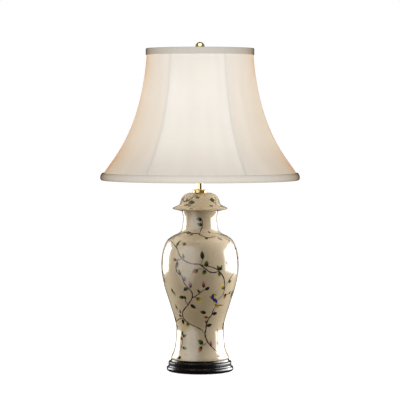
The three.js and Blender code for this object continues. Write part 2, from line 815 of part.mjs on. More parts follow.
const lamp = new THREE.Group();
buildBase(lamp);
buildPorcelain(lamp);
buildNeck(lamp);
buildSaddle(lamp);
buildSocket(lamp);
buildBulb(lamp);
buildHarp(lamp);
buildShade(lamp);
buildFinial(lamp);

export default lamp;
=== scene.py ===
"""The looks of the table lamp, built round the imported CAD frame. +Z is up, and -Y the front."""

import math
import random

import bmesh
import bpy
from mathutils import Matrix, Vector


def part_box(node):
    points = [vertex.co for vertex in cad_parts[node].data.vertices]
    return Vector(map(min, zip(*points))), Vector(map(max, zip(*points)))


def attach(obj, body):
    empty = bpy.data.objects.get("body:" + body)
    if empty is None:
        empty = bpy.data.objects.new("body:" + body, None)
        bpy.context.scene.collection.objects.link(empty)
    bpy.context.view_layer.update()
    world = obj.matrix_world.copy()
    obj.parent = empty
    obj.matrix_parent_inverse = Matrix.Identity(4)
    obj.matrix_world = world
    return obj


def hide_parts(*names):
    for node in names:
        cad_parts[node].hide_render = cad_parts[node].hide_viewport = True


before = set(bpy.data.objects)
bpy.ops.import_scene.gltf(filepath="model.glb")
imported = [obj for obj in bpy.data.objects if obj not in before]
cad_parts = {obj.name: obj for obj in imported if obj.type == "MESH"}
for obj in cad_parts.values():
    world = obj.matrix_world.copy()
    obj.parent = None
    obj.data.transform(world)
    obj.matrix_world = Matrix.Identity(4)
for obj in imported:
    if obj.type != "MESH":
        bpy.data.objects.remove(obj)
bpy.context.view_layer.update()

MM = 0.001  # outlines, paths and their sizes are in millimetres, and all else is in metres


# ------------------------------------------------------------------ sizes, from the frame

def box(node):
    """The two corners of a CAD node's box, in millimetres."""
    return [Vector(corner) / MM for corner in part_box(node)]


def low(node):
    """The height of a CAD node's lowest point."""
    return box(node)[0].z


def high(node):
    """The height of a CAD node's highest point."""
    return box(node)[1].z


def reach(node):
    """How far a CAD node reaches from the lamp's axis."""
    return max(math.hypot(v.co.x, v.co.y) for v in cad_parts[node].data.vertices) / MM


def ends(node):
    """The heights of a CAD node's lowest and highest points."""
    return low(node), high(node)


def extent(node):
    """The heights of a CAD node's lowest and highest points, and its reach."""
    return low(node), high(node), reach(node)


def centre_of(node):
    """The middle of a CAD node's box."""
    corner, far = box(node)
    return (corner + far) / 2


SEAM_ANGLE = math.radians(27.4)  # the first rib, from the front towards +X
PANELS = 6
PANEL_ANGLE = 2 * math.pi / PANELS
LEG_X = centre_of("harp_sleeve_right").x
BORE = 5.3  # the radius of the hole up the middle, which the threaded pipe goes through
CORD_HEIGHT = 18.6  # of the cord's hole in the back of the base
BULB_PITCH = 3.63  # of the bulb's screw thread


# ------------------------------------------------------------------ curves and outlines

def catmull(points, per_span):
    """A smooth line through the points, with per_span steps between each two."""
    vectors = [Vector(p) for p in points]
    line = []
    for i in range(len(vectors) - 1):
        p0 = vectors[max(i - 1, 0)]
        p1 = vectors[i]
        p2 = vectors[i + 1]
        p3 = vectors[min(i + 2, len(vectors) - 1)]
        for k in range(per_span):
            t = k / per_span
            line.append(0.5 * (
                2 * p1 + (p2 - p0) * t
                + (2 * p0 - 5 * p1 + 4 * p2 - p3) * t ** 2
                + (3 * p1 - p0 - 3 * p2 + p3) * t ** 3
            ))
    line.append(vectors[-1])
    return line


def bezier(points, steps, start=0.0, end=1.0):
    """A cubic Bezier curve, or the part of it between two shares of its run."""
    a, b, c, d = (Vector(p) for p in points)
    line = []
    for k in range(steps + 1):
        t = start + (end - start) * k / steps
        u = 1 - t
        line.append(u ** 3 * a + 3 * u * u * t * b + 3 * u * t * t * c + t ** 3 * d)
    return line


def arc(centre, radius, start, end, steps):
    """Points on a round stretch of an outline, from one angle in degrees to another."""
    points = []
    for k in range(steps + 1):
        angle = math.radians(start + (end - start) * k / steps)
        points.append((centre[0] + radius * math.cos(angle), centre[1] + radius * math.sin(angle)))
    return points


def ring(inner, outer, bottom, top):
    """The outline of a plain ring."""
    return [(inner, bottom), (outer, bottom), (outer, top), (inner, top)]


def rounded(outline, size, steps=4):
    """A closed outline with each corner rounded, by up to size and nearly half of each side."""
    corners = [Vector(p) for p in outline]
    result = []
    for i, corner in enumerate(corners):
        before = corners[i - 1] - corner
        after = corners[(i + 1) % len(corners)] - corner
        back = min(size, before.length * 0.45, after.length * 0.45)
        start = corner + before.normalized() * back
        end = corner + after.normalized() * back
        for k in range(steps + 1):
            t = k / steps
            result.append(start * (1 - t) ** 2 + corner * 2 * t * (1 - t) + end * t * t)
    return result


# ------------------------------------------------------------------ mesh building

TINY = 1e-6  # an outline's point this near the axis closes its end of a turned shape


def finish_mesh(name, bm, sharp_degrees=40):
    """Turns a bmesh into a smooth-shaded object that stays sharp at its hard edges."""
    bmesh.ops.remove_doubles(bm, verts=bm.verts, dist=1e-7)
    bmesh.ops.recalc_face_normals(bm, faces=bm.faces)
    mesh = bpy.data.meshes.new(name)
    bm.to_mesh(mesh)
    bm.free()
    mesh.shade_smooth()
    mesh.set_sharp_from_angle(angle=math.radians(sharp_degrees))
    piece = bpy.data.objects.new(name, mesh)
    bpy.context.scene.collection.objects.link(piece)
    return piece


def polar(radius, angle, height):
    """A point round the lamp's axis, in metres. Its angle starts at the front."""
    return Vector((radius * math.sin(angle), -radius * math.cos(angle), height)) * MM


def lathe(name, outline, sides, radius_at=None, sharp_degrees=40):
    """Turns an outline of (radius, height) round the lamp's axis.

    An outline that starts on the axis ends on it, and any other one closes on itself.
    radius_at(radius, height, angle) can reshape it, and its angle starts at the front.
    The UV map holds the way round and the way along the outline, in metres."""
    bm = bmesh.new()
    uv = bm.loops.layers.uv.new("UVMap")
    points = [Vector(p) for p in outline]
    along = [0.0]
    for a, b in zip(points, points[1:] + points[:1]):
        along.append(along[-1] + (b - a).length)
    widest = max(p.x for p in points)
    rings = []
    for point in points:
        row = []
        for k in range(sides):
            angle = SEAM_ANGLE + 2 * math.pi * k / sides
            radius = radius_at(point.x, point.y, angle) if radius_at else point.x
            row.append(bm.verts.new(polar(radius, angle, point.y)))
        rings.append(row)
    solid = points[0].x < TINY
    for i in range(len(points) - solid):
        for k in range(sides):
            beside = (k + 1) % sides
            above = (i + 1) % len(points)
            corners = [
                (rings[i][k], k, i),
                (rings[i][beside], k + 1, i),
                (rings[above][beside], k + 1, i + 1),
                (rings[above][k], k, i + 1),
            ]
            if points[i].x < TINY:
                corners.pop(1)
            elif points[above].x < TINY:
                corners.pop(3)
            face = bm.faces.new([vert for vert, turn, level in corners])
            for loop, (vert, turn, level) in zip(face.loops, corners):
                loop[uv].uv = (2 * math.pi * widest * turn / sides * MM, along[level] * MM)
    return finish_mesh(name, bm, sharp_degrees)


def span_rings(bm, rings):
    """Joins each ring of corners to the next, and closes both ends."""
    for a, b in zip(rings, rings[1:]):
        for k in range(len(a)):
            beside = (k + 1) % len(a)
            bm.faces.new((a[k], a[beside], b[beside], b[k]))
    bm.faces.new(rings[0])
    bm.faces.new(rings[-1])


def tube(name, path, radius, sides=16):
    """A round wire along a path."""
    bm = bmesh.new()
    points = [Vector(p) for p in path]
    tangents = []
    for before, after in zip(points[:1] + points, points[1:] + points[-1:]):
        tangents.append((after - before).normalized())
    start = Vector((0, 0, 1)) if abs(tangents[0].z) < 0.9 else Vector((0, 1, 0))
    side = tangents[0].cross(start).normalized()
    rings = []
    for i, point in enumerate(points):
        side = (side - tangents[i] * side.dot(tangents[i])).normalized()
        up = tangents[i].cross(side)
        row = []
        for k in range(sides):
            angle = 2 * math.pi * k / sides
            out = side * math.cos(angle) + up * math.sin(angle)
            row.append(bm.verts.new((point + out * radius) * MM))
        rings.append(row)
    span_rings(bm, rings)
    return finish_mesh(name, bm, sharp_degrees=50)


def join(name, *pieces):
    """Joins pieces into one object of that name."""
    bm = bmesh.new()
    for piece in pieces:
        piece.data.transform(piece.matrix_world)
        bm.from_mesh(piece.data)
        bpy.data.objects.remove(piece)
    return finish_mesh(name, bm)


def cut(piece, tool):
    """Takes the tool's shape out of the piece."""
    modifier = piece.modifiers.new("cut", "BOOLEAN")
    modifier.operation = "DIFFERENCE"
    modifier.object = tool
    modifier.solver = "EXACT"
    bpy.context.view_layer.update()
    evaluated = piece.evaluated_get(bpy.context.evaluated_depsgraph_get())
    whole = bpy.data.meshes.new_from_object(evaluated)
    piece.modifiers.clear()
    piece.data = whole
    bpy.data.objects.remove(tool)
    return piece


def moved(piece, x=0.0, z=0.0, turn=0.0, axis="Z"):
    """Turns a piece's mesh about an axis through the origin, then shifts it."""
    shift = Matrix.Translation(Vector((x, 0, z)) * MM)
    piece.data.transform(shift @ Matrix.Rotation(turn, 4, axis))
    return piece


def thread(pitch, depth, bottom, top, core):
    """A reshaping that cuts a screw thread into what lies beyond the core's radius."""
    def radius_at(radius, height, angle):
        if radius < core or not bottom <= height <= top:
            return radius
        turns = height / pitch - angle / (2 * math.pi)
        valley = 0.5 + 0.5 * math.cos(2 * math.pi * turns)
        run_out = min(1.0, (height - bottom) / pitch, (top - height) / pitch)
        return radius - depth * valley * max(0.0, run_out)

    return radius_at


def column(radius, bottom, top, step):
    """Closely spaced points up the side of a round piece, for a thread to shape."""
    count = max(1, round((top - bottom) / step))
    return [(radius, bottom + (top - bottom) * k / count) for k in range(count + 1)]


GROUPS = {"cloth": [], "finial": [], "lid": [], "base": []}  # pieces lit in ways of their own
LINKS = []  # a light, the groups it is linked to, and how
RANDOM = random.Random(11)


def place(piece, body, finish, *nodes, group=None):
    """Gives a piece its body and its finish's material, and hides the CAD nodes that it stands for."""
    slot, material = finish
    piece.data.materials.clear()
    piece.data.materials.append(material)
    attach(piece, body)
    if nodes:
        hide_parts(*nodes)
    if group:
        GROUPS[group].append(piece)
    return piece


# ------------------------------------------------------------------ materials

COLOUR_A, COLOUR_B, MIXED_COLOUR = 6, 7, 2  # the mix node's sockets when it mixes colours


class Shader:
    """A material with one Principled shader and short calls for the nodes that feed it."""

    def __init__(self, name, **values):
        self.material = bpy.data.materials.new(name)
        self.material.use_nodes = True
        self.tree = self.material.node_tree
        self.principled = self.tree.nodes["Principled BSDF"]
        self.output = self.tree.nodes["Material Output"]
        for key, value in values.items():
            self.set(key.replace("_", " "), value)

    def feed(self, target, value):
        """Links another node's output to an input, or sets a constant on it."""
        if isinstance(value, bpy.types.NodeSocket):
            self.tree.links.new(value, target)
        elif target.type == "RGBA" and len(value) == 3:
            target.default_value = (*value, 1)
        else:
            target.default_value = value

    def set(self, socket, value):
        names = {s.name.lower(): s for s in self.principled.inputs}
        self.feed(names[socket.lower()], value)

    def node(self, kind, **inputs):
        """A new node, with its inputs and its own settings given by name."""
        node = self.tree.nodes.new("ShaderNode" + kind)
        for key, value in inputs.items():
            name = key.replace("_", " ").lower()
            target = next((s for s in node.inputs if s.name.lower() == name), None)
            if target:
                self.feed(target, value)
            else:
                setattr(node, key, value)
        return node

    def place(self, kind="Object", scale=(1, 1, 1)):
        """Texture coordinates, scaled."""
        source = self.node("TexCoord").outputs[kind]
        return self.node("Mapping", Vector=source, Scale=scale).outputs["Vector"]

    def noise(self, scale, detail=3.0, roughness=0.5, stretch=(1, 1, 1), kind="Object"):
        where = self.place(kind, stretch)
        noise = self.node("TexNoise", Vector=where, Scale=scale, Detail=detail, Roughness=roughness)
        return noise.outputs["Fac"]

    def ramp(self, value, *stops):
        """Maps a value through (position, colour) stops."""
        node = self.node("ValToRGB", Fac=value)
        elements = node.color_ramp.elements
        while len(elements) < len(stops):
            elements.new(0.5)
        for element, (position, colour) in zip(elements, stops):
            element.position = position
            element.color = (*colour, 1) if hasattr(colour, "__len__") else (*[colour] * 3, 1)
        return node.outputs["Color"]

    def math(self, operation, a, b=0.0):
        node = self.node("Math", operation=operation)
        self.feed(node.inputs[0], a)
        self.feed(node.inputs[1], b)
        return node.outputs[0]

    def mix(self, factor, a, b, blend="MIX"):
        node = self.node("Mix", data_type="RGBA", blend_type=blend, Factor=factor)
        self.feed(node.inputs[COLOUR_A], a)
        self.feed(node.inputs[COLOUR_B], b)
        return node.outputs[MIXED_COLOUR]

    def position(self):
        """A point's place on its own piece, as separate X, Y and Z."""
        return self.node("SeparateXYZ", Vector=self.node("TexCoord").outputs["Object"]).outputs

    def height_share(self, node):
        """How high a point lies on a CAD node, from 0 at its foot to 1 at its top."""
        share = self.node("MapRange", Value=self.position()["Z"])
        share.inputs["From Min"].default_value = low(node) * MM
        share.inputs["From Max"].default_value = high(node) * MM
        return share.outputs["Result"]

    def from_seam(self):
        """How far round a point lies from the nearest seam, as a part of a panel's width."""
        where = self.position()
        turn = self.math("ARCTAN2", where["X"], self.math("MULTIPLY", where["Y"], -1))
        panel = self.math("DIVIDE", self.math("SUBTRACT", turn, SEAM_ANGLE), PANEL_ANGLE)
        return self.math("ABSOLUTE", self.math("SUBTRACT", panel, self.math("ROUND", panel)))

    def bump(self, height, strength, distance):
        """Bends the surface's shading by a height pattern."""
        node = self.node("Bump", Height=height, Strength=strength, Distance=distance)
        previous = self.principled.inputs["Normal"]
        if previous.is_linked:
            self.tree.links.new(previous.links[0].from_socket, node.inputs["Normal"])
        self.tree.links.new(node.outputs["Normal"], previous)


def brass_material():
    """Polished, lacquered brass with faint rubbing marks."""
    s = Shader("polished_brass", Metallic=1.0)
    cloud = s.noise(60, 4)
    s.set("Base Color", s.ramp(cloud, (0.3, (0.84, 0.66, 0.31)), (0.7, (0.9, 0.75, 0.40))))
    marks = s.noise(900, 2, stretch=(1, 1, 0.08))
    s.set("Roughness", s.ramp(marks, (0.35, 0.08), (0.7, 0.16)))
    s.bump(s.noise(500, 3), 0.03, 0.0002)
    return s.material


def lacquer_material():
    """Black lacquer on turned wood: nearly black brown, glossy, with faint grain and dust."""
    s = Shader("black_lacquer", Coat_Weight=0.9, Coat_Roughness=0.2)
    s.set("Specular IOR Level", 0.2)
    grain = s.noise(40, 6, stretch=(1, 1, 9))
    s.set("Base Color", s.ramp(grain, (0.3, (0.002, 0.0016, 0.0015)), (0.75, (0.008, 0.005, 0.004))))
    dust = s.noise(300, 4)
    s.set("Roughness", s.ramp(dust, (0.4, 0.24), (0.75, 0.36)))
    s.bump(grain, 0.06, 0.0005)
    return s.material


def grained(s, dark, light, grain, bump):
    """Colours a material by a pattern of grain or fibres, and raises its surface by it."""
    s.set("Base Color", s.ramp(grain, (0.3, dark), (0.7, light)))
    s.bump(grain, *bump)
    return s.material


def felt_material():
    s = Shader("green_felt", Roughness=0.95, Sheen_Weight=0.6)
    fibres = s.noise(1400, 6, 0.7)
    return grained(s, (0.02, 0.045, 0.03), (0.06, 0.11, 0.075), fibres, (0.8, 0.0006))


def steel_material():
    s = Shader("zinc_steel", Metallic=1.0)
    spangle = s.node("TexVoronoi", Vector=s.place(), Scale=260.0).outputs["Color"]
    s.set("Base Color", s.mix(0.12, (0.56, 0.56, 0.54), spangle, "OVERLAY"))
    s.set("Roughness", s.ramp(s.noise(400, 3), (0.3, 0.28), (0.7, 0.45)))
    return s.material


def aluminium_material():
    s = Shader("plain_aluminium", Metallic=1.0)
    brushed = s.noise(900, 3, stretch=(1, 1, 0.05))
    s.set("Base Color", s.ramp(brushed, (0.3, (0.72, 0.72, 0.71)), (0.7, (0.86, 0.86, 0.84))))
    s.set("Roughness", s.ramp(brushed, (0.3, 0.22), (0.7, 0.4)))
    return s.material


def plastic_material():
    s = Shader("black_plastic", Roughness=0.4)
    grain = s.noise(1800, 2)
    return grained(s, (0.012, 0.011, 0.01), (0.03, 0.028, 0.026), grain, (0.15, 0.0002))


def board_material():
    s = Shader("fibre_board", Roughness=0.85)
    fibres = s.noise(700, 6, 0.7, stretch=(1, 1, 0.2))
    return grained(s, (0.36, 0.26, 0.16), (0.55, 0.42, 0.28), fibres, (0.4, 0.0002))


def glass_material():
    s = Shader("clear_glass", Roughness=0.03, Transmission_Weight=1.0, IOR=1.5)
    s.set("Base Color", s.ramp(s.noise(200, 2), (0.3, (0.9, 0.95, 0.93)), (0.7, (0.97, 0.99, 0.98))))
    return s.material


def glowing_bulb_material():
    """Frosted glass, lit: a warm white glow, hotter in the globe than in the neck, and yellower
    where it is seen edge on, through a coat that reflects nothing."""
    s = Shader("frosted_bulb", Roughness=0.45, Emission_Strength=3.2, Coat_Weight=1.0,
               Coat_IOR=1.0, Coat_Tint=(0.90, 0.74, 0.48))
    frost = s.noise(900, 3)
    s.set("Base Color", s.ramp(frost, (0.3, (0.9, 0.88, 0.82)), (0.7, (0.97, 0.95, 0.9))))
    up = s.height_share("bulb_glass")
    s.set("Emission Color", s.ramp(up, (0.1, (0.12, 0.08, 0.04)), (0.75, (1.0, 0.93, 0.82))))
    return s.material


def porcelain_material():
    """Cream glaze, very glossy, with a fine net of crackle lines and slight clouding."""
    s = Shader("crackle_glaze", IOR=1.5, Coat_Weight=1.0, Coat_Roughness=0.07, Coat_IOR=1.6)
    cloud = s.noise(11, 4)
    body = s.ramp(cloud, (0.35, (0.52, 0.44, 0.31)), (0.65, (0.58, 0.495, 0.36)))
    where = s.place()
    wander = s.node("TexNoise", Vector=where, Scale=90.0).outputs["Color"]
    shift = s.node("VectorMath", operation="SCALE", Vector=wander, Scale=0.004)
    bent = s.node("VectorMath", operation="ADD", Vector=where)
    s.feed(bent.inputs[1], shift.outputs[0])
    cells = s.node("TexVoronoi", Vector=bent.outputs[0], Scale=150.0, feature="DISTANCE_TO_EDGE")
    crack = s.ramp(cells.outputs["Distance"], (0.0, 1.0), (0.05, 0.0))
    patchy = s.math("MULTIPLY", crack, s.ramp(s.noise(90, 2), (0.35, 0.1), (0.7, 0.75)))
    s.set("Base Color", s.mix(patchy, body, (0.33, 0.24, 0.14)))
    s.set("Roughness", s.ramp(s.noise(35, 3), (0.3, 0.13), (0.7, 0.22)))
    s.bump(cells.outputs["Distance"], 0.04, 0.0004)
    return s.material


def fabric_shader(name, tint, glow, strength, depth, through, slub, heights, painted_seam_and_crease_shade=True):
    """Woven cloth with a light behind it, its glow painted in as emission.

    The painted glow stands in for the lamplight that comes through the cloth. It fades and warms
    where the cloth is seen edge on, because its coat, which reflects nothing, soaks up more light
    along a slanting path. through is the share of lamplight that the cloth scatters to its far
    side, and slub is how far its threads' thickness varies. heights gives the painted glow up the
    shade. Sewn cloth also gets painted shade: darker along each seam line over the ribs, where they
    would shadow the glow, and in faint painted crease shade down its panels."""
    s = Shader(name, Roughness=0.8, Coat_Weight=1.0, Coat_IOR=1.0, Coat_Tint=depth)
    s.set("Specular IOR Level", 0.15)
    threads = s.noise(1500, 2, 0.5, stretch=(1, 0.04, 1), kind="UV")
    streaks = s.noise(210, 4, 0.65, stretch=(1, 0.07, 1), kind="UV")
    cloud = s.noise(7, 3)
    weave = s.math("ADD", s.math("MULTIPLY", threads, 0.4), s.math("MULTIPLY", streaks, 0.6))
    tone = s.ramp(weave, (0.3, 1 - slub), (0.7, 1.0))
    patch = s.ramp(cloud, (0.3, (0.97, 0.965, 0.95)), (0.7, (1.0, 1.0, 1.0)))
    shade = s.mix(1.0, tone, patch, "MULTIPLY")
    # painted shade: faint darker crease lines down the panels, and darker seam lines over the ribs,
    # where they would shadow the glow
    if painted_seam_and_crease_shade:
        painted_crease_shade = s.noise(26, 2, 0.4, stretch=(1, 0.02, 1), kind="UV")
        shade = s.mix(1.0, shade, s.ramp(painted_crease_shade, (0.35, 0.975), (0.6, 1.0)), "MULTIPLY")
        painted_seam_shade = s.ramp(s.from_seam(), (0.0, 0.92), (0.008, 0.94), (0.02, 1.0))
        shade = s.mix(1.0, shade, painted_seam_shade, "MULTIPLY")
    # the cloth's dye and weave, darkened by the painted seam and crease shade
    dye_and_painted_shade = s.mix(1.0, tint, shade, "MULTIPLY")
    s.set("Base Color", dye_and_painted_shade)
    # painted glow: emission standing in for lamplight through the cloth, darkened by the same painted
    # seam and crease shade, and varied up the shade by heights
    light = s.mix(1.0, glow, shade, "MULTIPLY")
    light = s.mix(1.0, light, s.ramp(s.height_share("shade_cover"), *heights), "MULTIPLY")
    s.set("Emission Color", light)
    s.set("Emission Strength", strength)
    s.bump(weave, 0.2, 0.0003)
    far = s.node("BsdfTranslucent", Color=dye_and_painted_shade)
    both = s.node("MixShader", Fac=through)
    s.feed(both.inputs[1], s.principled.outputs["BSDF"])
    s.feed(both.inputs[2], far.outputs["BSDF"])
    s.feed(s.output.inputs["Surface"], both.outputs["Shader"])
    return s.material


def paint_material():
    """Enamel colours under the glaze: each stroke's own colour, uneven as a brush leaves it."""
    s = Shader("enamel_paint", IOR=1.5, Coat_Weight=1.0, Coat_Roughness=0.07, Coat_IOR=1.6)
    colour = s.node("Attribute", attribute_name="enamel").outputs["Color"]
    strokes = s.ramp(s.noise(420, 3), (0.3, 0.75), (0.7, 1.2))
    s.set("Base Color", s.mix(1.0, colour, strokes, "MULTIPLY"))
    s.set("Roughness", s.ramp(s.noise(300, 2), (0.3, 0.14), (0.7, 0.25)))
    return s.material


# each finish is a material slot and the material for it
BRASS = ("polished_brass", brass_material())
LACQUER = ("lacquered_wood", lacquer_material())
FELT = ("felt", felt_material())
STEEL = ("zinc_steel", steel_material())
TUNGSTEN = ("tungsten", STEEL[1])
ALUMINIUM = ("plain_aluminium", aluminium_material())
PLASTIC = ("black_plastic", plastic_material())
BOARD = ("fibre_board", board_material())
GLASS = ("clear_glass", glass_material())
BULB_GLASS = ("frosted_glass", glowing_bulb_material())
PORCELAIN = ("porcelain_glaze", porcelain_material())
ENAMEL = ("porcelain_glaze", paint_material())

PAINTED_GLOW_UP_SHADE = (
    (0.0, (0.66, 0.65, 0.64)), (0.3, (0.92, 0.91, 0.90)), (0.65, (1.0, 1.0, 1.0)),
    (1.0, (0.89, 0.87, 0.86)),
)  # the cloth's painted glow up the shade, brightest beside the bulb
PAINTED_TRIM_GLOW = ((0.0, (1.0, 1.0, 1.0)), (1.0, (0.76, 0.76, 0.76)))  # the trims' painted glow, brighter at the hem

# the silk, the lining and the trims glow with painted light, standing in for the lamplight that comes
# through them
SILK = ("silk", fabric_shader(
    "shade_silk", tint=(0.88, 0.85, 0.80), glow=(0.66, 0.82, 0.97), strength=0.87,
    depth=(0.99, 0.905, 0.82), through=0.3, slub=0.07, heights=PAINTED_GLOW_UP_SHADE,
))
LINING = ("lining_fabric", fabric_shader(
    "shade_lining", tint=(0.9, 0.88, 0.84), glow=(0.86, 0.95, 1.0), strength=0.38,
    depth=(0.97, 0.93, 0.88), through=0.4, slub=0.05, heights=PAINTED_GLOW_UP_SHADE,
))
TRIM = ("trim_fabric", fabric_shader(
    "shade_trim", tint=(0.76, 0.71, 0.67), glow=(0.89, 0.90, 0.91), strength=0.79,
    depth=(0.78, 0.75, 0.70), through=0.05, slub=0.08, heights=PAINTED_TRIM_GLOW, painted_seam_and_crease_shade=False,
))


# ------------------------------------------------------------------ camera, light and floor

CAMERA_DISTANCE = 4.81
CAMERA_HEIGHT = 0.598
CAMERA_PITCH = math.radians(2.394)
LENS = 187.3
LIGHT_DISTANCE = 1.9
JAR_LEVEL = 0.25  # the height that the lights face


def make_camera():
    data = bpy.data.cameras.new("camera")
    data.lens = LENS
    data.sensor_width = 36
    data.clip_end = 100
    camera = bpy.data.objects.new("camera", data)
    camera.location = (0, -CAMERA_DISTANCE, CAMERA_HEIGHT)
    camera.rotation_euler = (math.pi / 2 - CAMERA_PITCH, 0, 0)
    bpy.context.scene.collection.objects.link(camera)
    bpy.context.scene.camera = camera


def softbox(name, sides, heights, brightness, colour=(1, 1, 1), seen_in="both",
            shape="RECTANGLE", only=(), never=()):
    """A light that faces the lamp and fills a stretch of its surroundings.

    sides are its edges in degrees round the lamp, from the front towards +X, and heights are
    its edges in degrees above JAR_LEVEL. brightness is its radiance. only and never name
    GROUPS: the ones that it lights alone, and the ones that it never lights."""
    turn = math.radians(sum(sides) / 2)
    rise = math.radians(sum(heights) / 2)
    data = bpy.data.lights.new(name, "AREA")
    data.shape = shape
    data.size = 2 * LIGHT_DISTANCE * math.tan(math.radians(sides[1] - sides[0]) / 2)
    data.size_y = 2 * LIGHT_DISTANCE * math.tan(math.radians(heights[1] - heights[0]) / 2)
    area = data.size * data.size_y * (math.pi / 4 if shape == "ELLIPSE" else 1)
    data.energy = brightness * math.pi * area
    data.color = colour
    light = bpy.data.objects.new(name, data)
    across = math.cos(rise)
    out = Vector((math.sin(turn) * across, -math.cos(turn) * across, math.sin(rise)))
    light.location = Vector((0, 0, JAR_LEVEL)) + out * LIGHT_DISTANCE
    light.rotation_euler = out.to_track_quat("Z", "Y").to_euler()
    light.visible_camera = False
    light.visible_glossy = seen_in != "diffuse"
    light.visible_diffuse = seen_in != "glossy"
    light.visible_transmission = seen_in != "glossy"
    bpy.context.scene.collection.objects.link(light)
    if only:
        LINKS.append((light, only, "INCLUDE"))
    if never:
        LINKS.append((light, never, "EXCLUDE"))


def link_light(light, groups, state):
    """INCLUDE has the light fall on the groups' pieces alone, and EXCLUDE keeps it off them."""
    receivers = bpy.data.collections.new(light.name + "_receivers")
    for name in groups:
        for piece in GROUPS[name]:
            receivers.objects.link(piece)
    light.light_linking.receiver_collection = receivers
    for member in receivers.collection_objects:
        member.light_linking.link_state = state


def make_lights():
    """Two windows at the sides, a grey card at the front left, and fills.

    A window's picture in the glaze is dimmer than the daylight that comes through it."""
    glass, day = "glossy", "diffuse"
    off = ["cloth", "finial"]
    softbox("window_right", (78, 141), (-11, 25), 5.5, seen_in=glass, never=off + ["lid"])
    softbox("window_left", (-141, -106), (-10, 22), 5.5, seen_in=glass, never=off + ["lid"])
    softbox("daylight_right", (78, 141), (-14, 34), 9.5, seen_in=day, never=off)
    softbox("daylight_left", (-141, -100), (-14, 34), 10.5, seen_in=day, never=off)
    softbox("front_fill", (-35, 35), (10, 45), 0.3, (0.97, 1, 1), day, never=off)
    softbox("grey_card", (-80, -2), (-30, 60), 0.9, shape="ELLIPSE", never=off + ["base"])
    softbox("grey_card_core", (-66, -16), (-22, 46), 0.8, seen_in=glass, shape="ELLIPSE",
            never=off + ["base"])
    softbox("ceiling", (-25, 25), (62, 88), 1.6, seen_in=glass)
    softbox("lid_fill", (-60, 60), (-50, 5), 2.1, (0.93, 1, 0.95), day, only=["lid"])
    softbox("base_gleam_right", (60, 141), (-11, 30), 4.6, (1, 1, 1), glass, only=["base"])
    softbox("base_gleam_left", (-141, -100), (-10, 30), 5, (1, 1, 1), glass, only=["base"])
    softbox("shade_fill", (-35, 35), (0, 55), 0.88, (0.95, 0.97, 0.98), day, only=["cloth"])
    softbox("finial_card", (-34, 26), (22, 74), 1.2, (1, 0.98, 0.9), glass, only=["finial"])
    softbox("finial_back", (110, 250), (0, 60), 0.5, (0.95, 1, 0.9), glass, only=["finial"])
    softbox("finial_front", (-80, 80), (-30, 84), 0.22, (0.95, 1, 0.9), glass, only=["finial"])
    world = bpy.data.worlds.new("studio")
    bpy.context.scene.world = world
    world.use_nodes = True
    camera_only(world.node_tree, world.node_tree.nodes["Background"].inputs["Color"],
                (1, 1, 1), (0.05, 0.05, 0.05))


def camera_only(tree, socket, seen, otherwise):
    """Feeds a socket one colour for what the camera sees directly and another for other light."""
    path = tree.nodes.new("ShaderNodeLightPath")
    mix = tree.nodes.new("ShaderNodeMix")
    mix.data_type = "RGBA"
    mix.inputs[COLOUR_A].default_value = (*otherwise, 1)
    mix.inputs[COLOUR_B].default_value = (*seen, 1)
    tree.links.new(path.outputs["Is Camera Ray"], mix.inputs["Factor"])
    tree.links.new(mix.outputs[MIXED_COLOUR], socket)


def make_floor():
    """A pale round floor that ends evenly in every view. It throws back a dimmer, warmer light."""
    bm = bmesh.new()
    bmesh.ops.create_circle(bm, cap_ends=True, radius=40, segments=96)
    floor = finish_mesh("floor", bm)
    s = Shader("floor_white", Roughness=0.9, Emission_Color=(1, 1, 1))
    s.set("Specular IOR Level", 0.0)
    near = s.node("VectorMath", operation="LENGTH", Vector=s.node("TexCoord").outputs["Object"])
    paper = s.ramp(near.outputs["Value"], (0.2, 0.74), (0.7, 1.0))
    speck = s.ramp(s.noise(3, 2), (0.3, (0.55, 0.55, 0.55)), (0.7, (0.6, 0.6, 0.6)))
    direct = s.node("LightPath").outputs["Is Camera Ray"]
    s.set("Base Color", s.mix(direct, (0.27, 0.21, 0.13), speck))
    s.set("Emission Strength", s.math("MULTIPLY", direct, paper))
    floor.data.materials.append(s.material)
    floor.visible_glossy = False


bpy.context.scene.view_settings.view_transform = "Standard"
make_camera()
make_lights()
make_floor()


# ------------------------------------------------------------------ base

